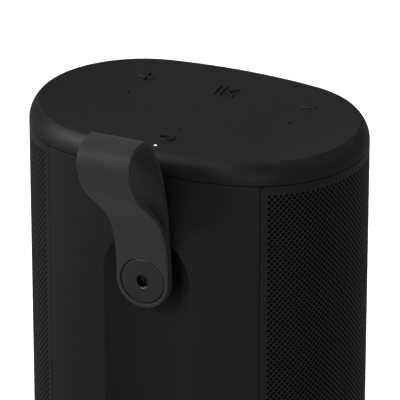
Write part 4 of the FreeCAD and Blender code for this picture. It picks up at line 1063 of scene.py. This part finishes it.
# ------------------------------------------------------------------ base cap and foot
def base():
    sh = Shell()
    n = 360
    phi = phi_at(np.arange(n) * ROUND / n)

    def ring(inset, z):
        x, y = oval(phi, inset)
        return sh.add(np.c_[x, y, np.full(n, z)])

    path = [(2.9, 3.6), (2.9, 10.1), (2.8, 10.25), (2.25, 10.25), (2.15, 10.1), (2.15, 7.95), (0.3, 7.95), (0.1, 7.9), (0.02, 7.8), (0, 7.65), (0, 6.6)]
    for deg in (8, 16, 24, 33, 42, 51, 60, 68, 76, 83, 90):
        a = math.radians(deg)
        path.append((3.0 * (1 - math.cos(a)), 6.6 - 5.6 * math.sin(a)))
    path += [(5.6, 1.0), (5.75, 1.03), (5.85, 1.12), (5.9, 1.3), (5.9, 1.4)]
    sh.rows([ring(*p) for p in path], True)
    for inset, z in ((5.9, 1.4), (2.9, 3.6)):
        p = np.c_[oval(phi, inset)]
        extra = []
        for i, m in ((inset + 4, 120), (inset + 10, 90), (inset + 18, 60), (inset + 26, 36)):
            extra.append(np.c_[oval(phi_at(np.arange(m) * ROUND / m), i)])
        pts, tri = fill([p], np.concatenate(extra))
        sh.faces(sh.add(np.c_[pts, np.full(len(pts), z)])[tri])
    sh.make("base_shell", "speaker_body", [CAP], ["base_cap"])
    # the foot: a rubber sheet with a raised rim and rows of small ribs
    sh = Shell()
    path = [(6.0, 1.4), (6.0, 0.3), (6.06, 0.12), (6.2, 0.02), (6.35, 0.0), (8.6, 0.0), (8.8, 0.05), (8.9, 0.2), (8.9, 0.35)]
    sh.rows([ring_ for ring_ in [sh.add(np.c_[np.c_[oval(phi, i)], np.full(n, z)]) for i, z in path]], True)
    ribs = []
    for inset in (11.5, 15.0, 18.5, 22.0, 25.5, 29.0):
        m = 200
        ph = phi_at(np.arange(m) * ROUND / m)
        ribs.append([np.c_[oval(ph, inset)], np.c_[oval(ph, inset + 1.2)]])
    loops = [np.c_[oval(phi, 8.9)]]
    pts_top, tri_top = fill([np.c_[oval(phi, 6.0)]])
    sh.faces(sh.add(np.c_[pts_top, np.full(len(pts_top), 1.4)])[tri_top])
    # bands between ribs, from the rim inwards
    current, z_cur = np.c_[oval(phi, 8.9)], 0.35
    for outer, inner in ribs:
        pts, tri = fill([current, outer])
        sh.faces(sh.add(np.c_[pts, np.full(len(pts), 0.35)])[tri])
        m = len(outer)
        a = sh.add(np.c_[outer, np.full(m, 0.35)])
        mid0 = sh.add(np.c_[outer + (inner - outer) * 0.15, np.full(m, 0.04)])
        mid1 = sh.add(np.c_[outer + (inner - outer) * 0.35, np.full(m, 0.0)])
        mid2 = sh.add(np.c_[outer + (inner - outer) * 0.65, np.full(m, 0.0)])
        mid3 = sh.add(np.c_[outer + (inner - outer) * 0.85, np.full(m, 0.04)])
        b = sh.add(np.c_[inner, np.full(m, 0.35)])
        sh.rows([a, mid0, mid1, mid2, mid3, b], True)
        current = inner
    pts, tri = fill([current])
    sh.faces(sh.add(np.c_[pts, np.full(len(pts), 0.35)])[tri])
    sh.make("foot_sheet", "speaker_body", [FOOT], ["foot_pad_sheet"])


base()

# ------------------------------------------------------------------ carry strap
OUTER_FACE = [(-40.30, -48.99), (-40.30, -42.31), (-40.35, -35.63), (-40.45, -30.96), (-40.85, -26.72), (-41.55, -22.72), (-43.10, -18.37),
              (-45.60, -14.14), (-49.00, -10.13), (-53.20, -6.18), (-58.20, -1.95), (-63.30, 4.01), (-65.75, 9.24), (-66.35, 13.25),
              (-65.10, 16.59), (-62.30, 18.65), (-58.50, 19.10), (-55.60, 18.87), (-53.60, 17.76), (-49.45, 13.58), (-46.45, 9.13),
              (-44.00, 3.67), (-42.40, -1.00), (-41.00, -6.68), (-39.55, -12.25), (-38.85, -17.59), (-38.45, -22.27), (-37.75, -27.61), (-37.15, -32.51),
              (-37.00, -36.75), (-37.00, -42.31), (-37.00, -48.99)]
EYE_OUT = [(-40.85, -17.75), (-42.50, -15.95), (-44.55, -13.36), (-48.05, -9.24), (-52.30, -5.34), (-57.10, -1.22), (-61.80, 4.12), (-64.05, 9.58), (-64.60, 13.08),
           (-63.80, 15.37), (-61.80, 16.76), (-58.40, 17.20), (-56.00, 16.98), (-54.60, 16.15), (-50.80, 12.36), (-48.00, 8.13), (-45.65, 2.84), (-44.05, -1.56), (-42.65, -7.13),
           (-41.25, -12.58), (-40.80, -15.40), (-40.85, -17.75)]


def strap():
    sh = Shell()
    wide, r = 9.1, 0.38
    seat_r = 7.5 + 0.28
    face = spline(OUTER_FACE, 0.45)
    face[:, 1] += SEAM
    # keep what is above the hub's centre line, and start and end exactly on it
    up = face[:, 1] >= HUB_Z
    first, last = np.argmax(up), len(up) - 1 - np.argmax(up[::-1])

    def cross(i, j):
        t = (HUB_Z - face[i, 1]) / (face[j, 1] - face[i, 1])
        return face[i] + t * (face[j] - face[i])

    prof = np.concatenate([[cross(first - 1, first)], face[first:last + 1], [cross(last, last + 1)]])
    if np.hypot(*(prof[1] - prof[0])) < 0.1:
        prof = np.delete(prof, 1, 0)
    if np.hypot(*(prof[-2] - prof[-1])) < 0.1:
        prof = np.delete(prof, -2, 0)
    tan = np.gradient(prof, axis=0)
    tan /= np.linalg.norm(tan, axis=1)[:, None]
    inn = np.c_[tan[:, 1], -tan[:, 0]]      # towards the rubber: the line runs up the outer face and down the inner one
    if inn[0, 0] < 0:
        inn = -inn
    inn[0], inn[-1] = (1, 0), (-1, 0)
    nrm_y, nrm_z = inn[:, 0], inn[:, 1]
    angles = np.radians([0, 18, 36, 54, 72, 90])
    # rows across the width: centre span, then the rounded edges
    span = np.linspace(-(wide - r), wide - r, 13)

    def row(x, inset):
        q = prof + inn * inset
        return sh.add(np.c_[np.full(len(q), x), q])

    edge_r = [row(wide - r + r * math.sin(a), r * (1 - math.cos(a))) for a in angles]
    edge_l = [row(-(wide - r + r * math.sin(a)), r * (1 - math.cos(a))) for a in angles]
    sh.rows(edge_r)
    sh.rows(edge_l)
    z_patch = SEAM - 27.2
    idx = np.arange(len(prof))
    front_low = idx[(idx < len(prof) // 2) & (prof[:, 1] <= z_patch)]
    back_low = idx[(idx > len(prof) // 2) & (prof[:, 1] <= z_patch)]
    i0, i1 = front_low[-1], back_low[0]
    mids = [sh.add(np.c_[np.full(i1 - i0 + 1, x), prof[i0:i1 + 1]]) for x in span]
    sh.rows(mids)
    # flat patches of the two faces near the hub, with the disc's seat and the screw's bore
    arc = np.linspace(0, -PI, 49)[1:-1]
    for part, hole_r in (("front", seat_r + 0.12), ("back", 2.6)):
        if part == "front":
            zz, yy = prof[:i0 + 1, 1], prof[:i0 + 1, 0]
        else:
            zz, yy = prof[i1:, 1][::-1], prof[i1:, 0][::-1]
        w = wide - r
        loop = [(w, z) for z in zz] + [(x, zz[-1]) for x in span[::-1][1:-1]] + [(-w, z) for z in zz[::-1]] + [(-w * math.cos(a), HUB_Z + w * math.sin(a)) for a in arc]
        loop = np.array(loop)
        hole = circle(0, HUB_Z, hole_r, 72)
        free = [circle(0, HUB_Z, hole_r + 0.25, 72)] if part == "front" else [circle(0, HUB_Z, q, 40) for q in (4.0, 5.5, 7.0)]
        pts, tri = fill([loop, hole], np.concatenate(free))
        y = np.interp(pts[:, 1], zz, yy)
        fi = sh.add(np.c_[pts[:, 0], y, pts[:, 1]])
        sh.faces(fi[tri])
        n = len(loop)
        rim = fi[n:n + 72]
        if part == "front":
            f = -38.72
            c1 = circle(0, HUB_Z, seat_r + 0.05, 72)
            y1 = np.interp(c1[:, 1], zz, yy) + 0.02
            c2 = circle(0, HUB_Z, seat_r + 0.012, 72)
            y2 = np.interp(c2[:, 1], zz, yy) + 0.07
            c3 = circle(0, HUB_Z, seat_r, 72)
            a = sh.add(np.c_[c1[:, 0], y1, c1[:, 1]])
            b = sh.add(np.c_[c2[:, 0], y2, c2[:, 1]])
            b2 = sh.add(np.c_[c3[:, 0], np.interp(c3[:, 1], zz, yy) + 0.14, c3[:, 1]])
            c = sh.add(np.c_[c3[:, 0], np.full(72, f), c3[:, 1]])
            sh.rows([rim, a, b, b2, c], True)
            bore = circle(0, HUB_Z, 2.6, 72)
            d = sh.add(np.c_[bore[:, 0], np.full(72, f), bore[:, 1]])
            sh.strip(c, d, True, True)
            bore_front = d
        else:
            sh.strip(rim, bore_front, True)
    # rounded lower end: the same section carried round the hub
    y_f, y_b = prof[0, 0], prof[-1, 0]
    sect = [(wide - r + r * math.sin(a), y_f + r * (1 - math.cos(a))) for a in angles] + [(wide - r + r * math.sin(a), y_b - r * (1 - math.cos(a))) for a in angles[::-1]]
    turn = np.linspace(0, -PI, 49)
    lower = [sh.add(np.c_[q * np.cos(turn), np.full(49, y), HUB_Z + q * np.sin(turn)]) for q, y in sect]
    sh.rows(lower)
    # the eye
    eye = spline(EYE_OUT, 0.45)
    eye[:, 1] += SEAM
    et = np.gradient(eye, axis=0)
    et /= np.linalg.norm(et, axis=1)[:, None]
    en = np.c_[et[:, 1], -et[:, 0]]
    centre = eye.mean(0)
    if ((eye[len(eye) // 2] - centre) @ en[len(eye) // 2]) < 0:
        en = -en
    # at the sharp lower corner the direction swings round in steps
    a0, a1 = math.atan2(en[-1, 1], en[-1, 0]), math.atan2(en[0, 1], en[0, 0])
    while a1 - a0 > PI:
        a1 -= 2 * PI
    while a1 - a0 < -PI:
        a1 += 2 * PI
    fan = np.linspace(a0, a1, 9)[1:-1]
    eye = np.concatenate([eye[:-1], [eye[-1]], np.repeat(eye[-1:], len(fan), 0)])
    en = np.concatenate([en, np.c_[np.cos(fan), np.sin(fan)]])
    # a soft fillet at that corner
    m = len(eye)

    def eye_row(x, out_):
        q = eye + en * out_
        return sh.add(np.c_[np.full(m, x), q])

    e_r = [eye_row(wide - r + r * math.sin(a), r * (1 - math.cos(a))) for a in angles]
    e_l = [eye_row(-(wide - r + r * math.sin(a)), r * (1 - math.cos(a))) for a in angles]
    sh.rows(e_r, True)
    sh.rows(e_l, True)
    sh.rows([eye_row(x, 0.0) for x in span], True)
    # the two side faces
    outer2, eye2 = prof + inn * r, eye + en * r
    pts, tri = fill([outer2, eye2])
    for side in (-1, 1):
        k = sh.add(np.c_[np.full(len(pts), side * wide), pts])
        sh.faces(k[tri])
    return sh.make("strap_loop", "strap", [STRAP], ["carry_strap"], angle=46)


strap()


# ------------------------------------------------------------------ hub disc
def hub():
    sh = Shell()
    f, n = -40.25, 96
    edge = [(7.5, f + 0.30), (7.485, f + 0.265), (7.29, f + 0.065), (7.24, f + 0.035)]
    face = [(q, f + 0.03 - 0.22 * (1 - (q / 7.2) ** 2)) for q in (7.15, 6.9, 6.4, 5.7, 4.9, 4.0, 3.2, 2.6, 2.38)]
    y_in = face[-1][1]
    lip = [(2.34, y_in + 0.01), (2.18, y_in + 0.17), (2.16, y_in + 0.21)]
    rows = lathe_y(sh, [(0, -25.9), (2.3, -25.9), (2.5, -26.1), (2.5, f + 1.5), (7.4, f + 1.5), (7.5, f + 1.4)] + edge + face + lip, HUB_Z, n)
    # a twelve-pointed drive
    t = np.arange(n) * 2 * PI / n
    wave = 2.02 + 0.13 * np.cos(12 * t)
    ring_ = []
    for y in (y_in + 0.26, f + 3.1):
        ring_.append(sh.add(np.c_[wave * np.cos(t), np.full(n, y), HUB_Z + wave * np.sin(t)]))
    # the drive's walls and floor take the darker socket finish, which is painted shade in the socket
    sh.strip(rows[-1], ring_[0], True, False, 1)
    sh.strip(ring_[0], ring_[1], True, False, 1)
    tip = sh.add([[0, f + 3.75, HUB_Z]])[0]
    sh.faces(np.c_[ring_[1], np.roll(ring_[1], -1), np.full(n, tip)], False, 1)
    return sh.make("hub_screw", "speaker_body", [SCREW, SOCKET_PAINTED_SHADE], ["strap_screw"], angle=32)


hub()

# ------------------------------------------------------------------ floor, light and camera
sh = Shell()
size = 9000.0
g = np.linspace(-size, size, 9)
rows = [sh.add(np.c_[g, np.full(9, y), np.full(9, -0.02)]) for y in g]
sh.rows(rows)
v = np.concatenate(sh.v) * MM
fl = bpy.data.meshes.new("stage_floor")
fl.from_pydata(v.tolist(), [], np.concatenate([f for f, _, _ in sh.f]).tolist())
floor = bpy.data.objects.new("stage_floor", fl)
bpy.context.scene.collection.objects.link(floor)
fm = bpy.data.materials.new("stage_floor_mat")
fm.use_nodes = True
fb = fm.node_tree.nodes["Principled BSDF"]
fb.inputs["Base Color"].default_value = (0.93, 0.93, 0.93, 1)
fb.inputs["Roughness"].default_value = 0.8
fb.inputs["Specular IOR Level"].default_value = 0.1
fl.materials.append(fm)

floor.visible_diffuse = False
floor.visible_glossy = False

world = bpy.data.worlds.new("studio")
bpy.context.scene.world = world
world.use_nodes = True
wt = world.node_tree
wt.nodes.clear()
w_out = wt.nodes.new("ShaderNodeOutputWorld")
w_bg = wt.nodes.new("ShaderNodeBackground")
w_tc = wt.nodes.new("ShaderNodeTexCoord")
w_sep = wt.nodes.new("ShaderNodeSeparateXYZ")
w_map = wt.nodes.new("ShaderNodeMapRange")
w_map.inputs["From Min"].default_value = -0.06
w_map.inputs["From Max"].default_value = 0.06
w_map.inputs["To Min"].default_value = 0.183
w_map.inputs["To Max"].default_value = 0.003
w_path = wt.nodes.new("ShaderNodeLightPath")
w_mix = wt.nodes.new("ShaderNodeMix")
wt.links.new(w_tc.outputs["Generated"], w_sep.inputs[0])
wt.links.new(w_sep.outputs["Z"], w_map.inputs["Value"])
wt.links.new(w_path.outputs["Is Camera Ray"], w_mix.inputs[0])
wt.links.new(w_map.outputs["Result"], w_mix.inputs[2])
w_mix.inputs[3].default_value = 1.0
wt.links.new(w_mix.outputs[0], w_bg.inputs["Strength"])
wt.links.new(w_bg.outputs[0], w_out.inputs[0])
w_bg.inputs["Color"].default_value = (1, 1, 1, 1)

# soft boxes on a dome round the object, by elevation and by azimuth from the camera's side (negative is to its left)
BOXES = [("key", 28, -60, 5.69), ("left", 28, -90, 2.77), ("top", 90, 0, 1.81), ("front_low", 5, 0, 1.22), ("left_low", 5, -90, 0.96), ("left_rear", 28, -150, 0.87),
         ("right_high", 52, 60, 0.58), ("right_rear", 28, 120, 0.41), ("left_high", 52, -60, 0.35), ("right", 28, 90, 0.34), ("rear_high", 52, 180, 0.33),
         ("right_front", 28, 60, 0.33), ("front_left", 28, -30, 0.14), ("rear_low", 5, 180, 0.14), ("front_right", 28, 30, 0.11), ("rear", 28, 180, 0.10),
         ("right_front_low", 5, 60, 0.08), ("right_low", 5, 90, 0.08), ("right_rear_low", 5, 150, 0.08)]
for name, el, az, power in BOXES:
    a, e = math.radians(25.92 + az), math.radians(el)
    d = Vector((math.sin(a) * math.cos(e), -math.cos(a) * math.cos(e), math.sin(e)))
    lamp = bpy.data.lights.new(name, "AREA")
    lamp.shape, lamp.size, lamp.energy = "SQUARE", 0.7 if el == 90 else 0.45, power
    o = bpy.data.objects.new(name, lamp)
    bpy.context.scene.collection.objects.link(o)
    o.location = Vector((0, 0, 0.14)) + d * 1.3
    o.rotation_mode = "QUATERNION"
    o.rotation_quaternion = (-d).to_track_quat("-Z", "Y")

# two broad soft boxes on the far side, for the grille and the base only
far_side = bpy.data.collections.new("lit_from_the_far_side")
for n in ["grille_%d" % (i + 1) for i in range(6)] + ["acoustic_mesh", "base_shell", "foot_sheet"]:
    far_side.objects.link(bpy.data.objects[n])
for name, el, az, power in (("far_left", 14, -158, 2.6), ("far_right", 14, 172, 4.2)):
    a, e = math.radians(25.92 + az), math.radians(el)
    d = Vector((math.sin(a) * math.cos(e), -math.cos(a) * math.cos(e), math.sin(e)))
    lamp = bpy.data.lights.new(name, "AREA")
    lamp.shape, lamp.size, lamp.energy = "SQUARE", 0.8, power
    o = bpy.data.objects.new(name, lamp)
    bpy.context.scene.collection.objects.link(o)
    o.location = Vector((0, 0, 0.14)) + d * 1.4
    o.rotation_mode = "QUATERNION"
    o.rotation_quaternion = (-d).to_track_quat("-Z", "Y")
    o.light_linking.receiver_collection = far_side

# one broad lamp of its own for the floor, so that the sweep is white
lamp = bpy.data.lights.new("floor_sun", "SUN")
lamp.energy, lamp.angle = 4.2, math.radians(70)
o = bpy.data.objects.new("floor_sun", lamp)
bpy.context.scene.collection.objects.link(o)
o.rotation_euler = (math.radians(8), math.radians(-8), 0)
only_floor = bpy.data.collections.new("lit_by_floor_sun")
only_floor.objects.link(floor)
o.light_linking.receiver_collection = only_floor

cam_data = bpy.data.cameras.new("camera")
cam_data.lens = 367.4
cam_data.sensor_width = 36.0
cam_data.clip_start, cam_data.clip_end = 0.05, 100.0
cam = bpy.data.objects.new("camera", cam_data)
bpy.context.scene.collection.objects.link(cam)
yaw, pitch = math.radians(26.06), math.radians(24.21)
cam.location = (0.5253, -1.0731, 0.6974)
look = Vector((-math.sin(yaw) * math.cos(pitch), math.cos(yaw) * math.cos(pitch), -math.sin(pitch)))
cam.rotation_mode = "QUATERNION"
cam.rotation_quaternion = look.to_track_quat("-Z", "Y")
bpy.context.scene.camera = cam
bpy.context.scene.view_settings.view_transform = "Standard"
bpy.context.scene.view_settings.look = "None"
bpy.context.scene.view_settings.exposure = 0.0
bpy.context.scene.view_settings.gamma = 1.0
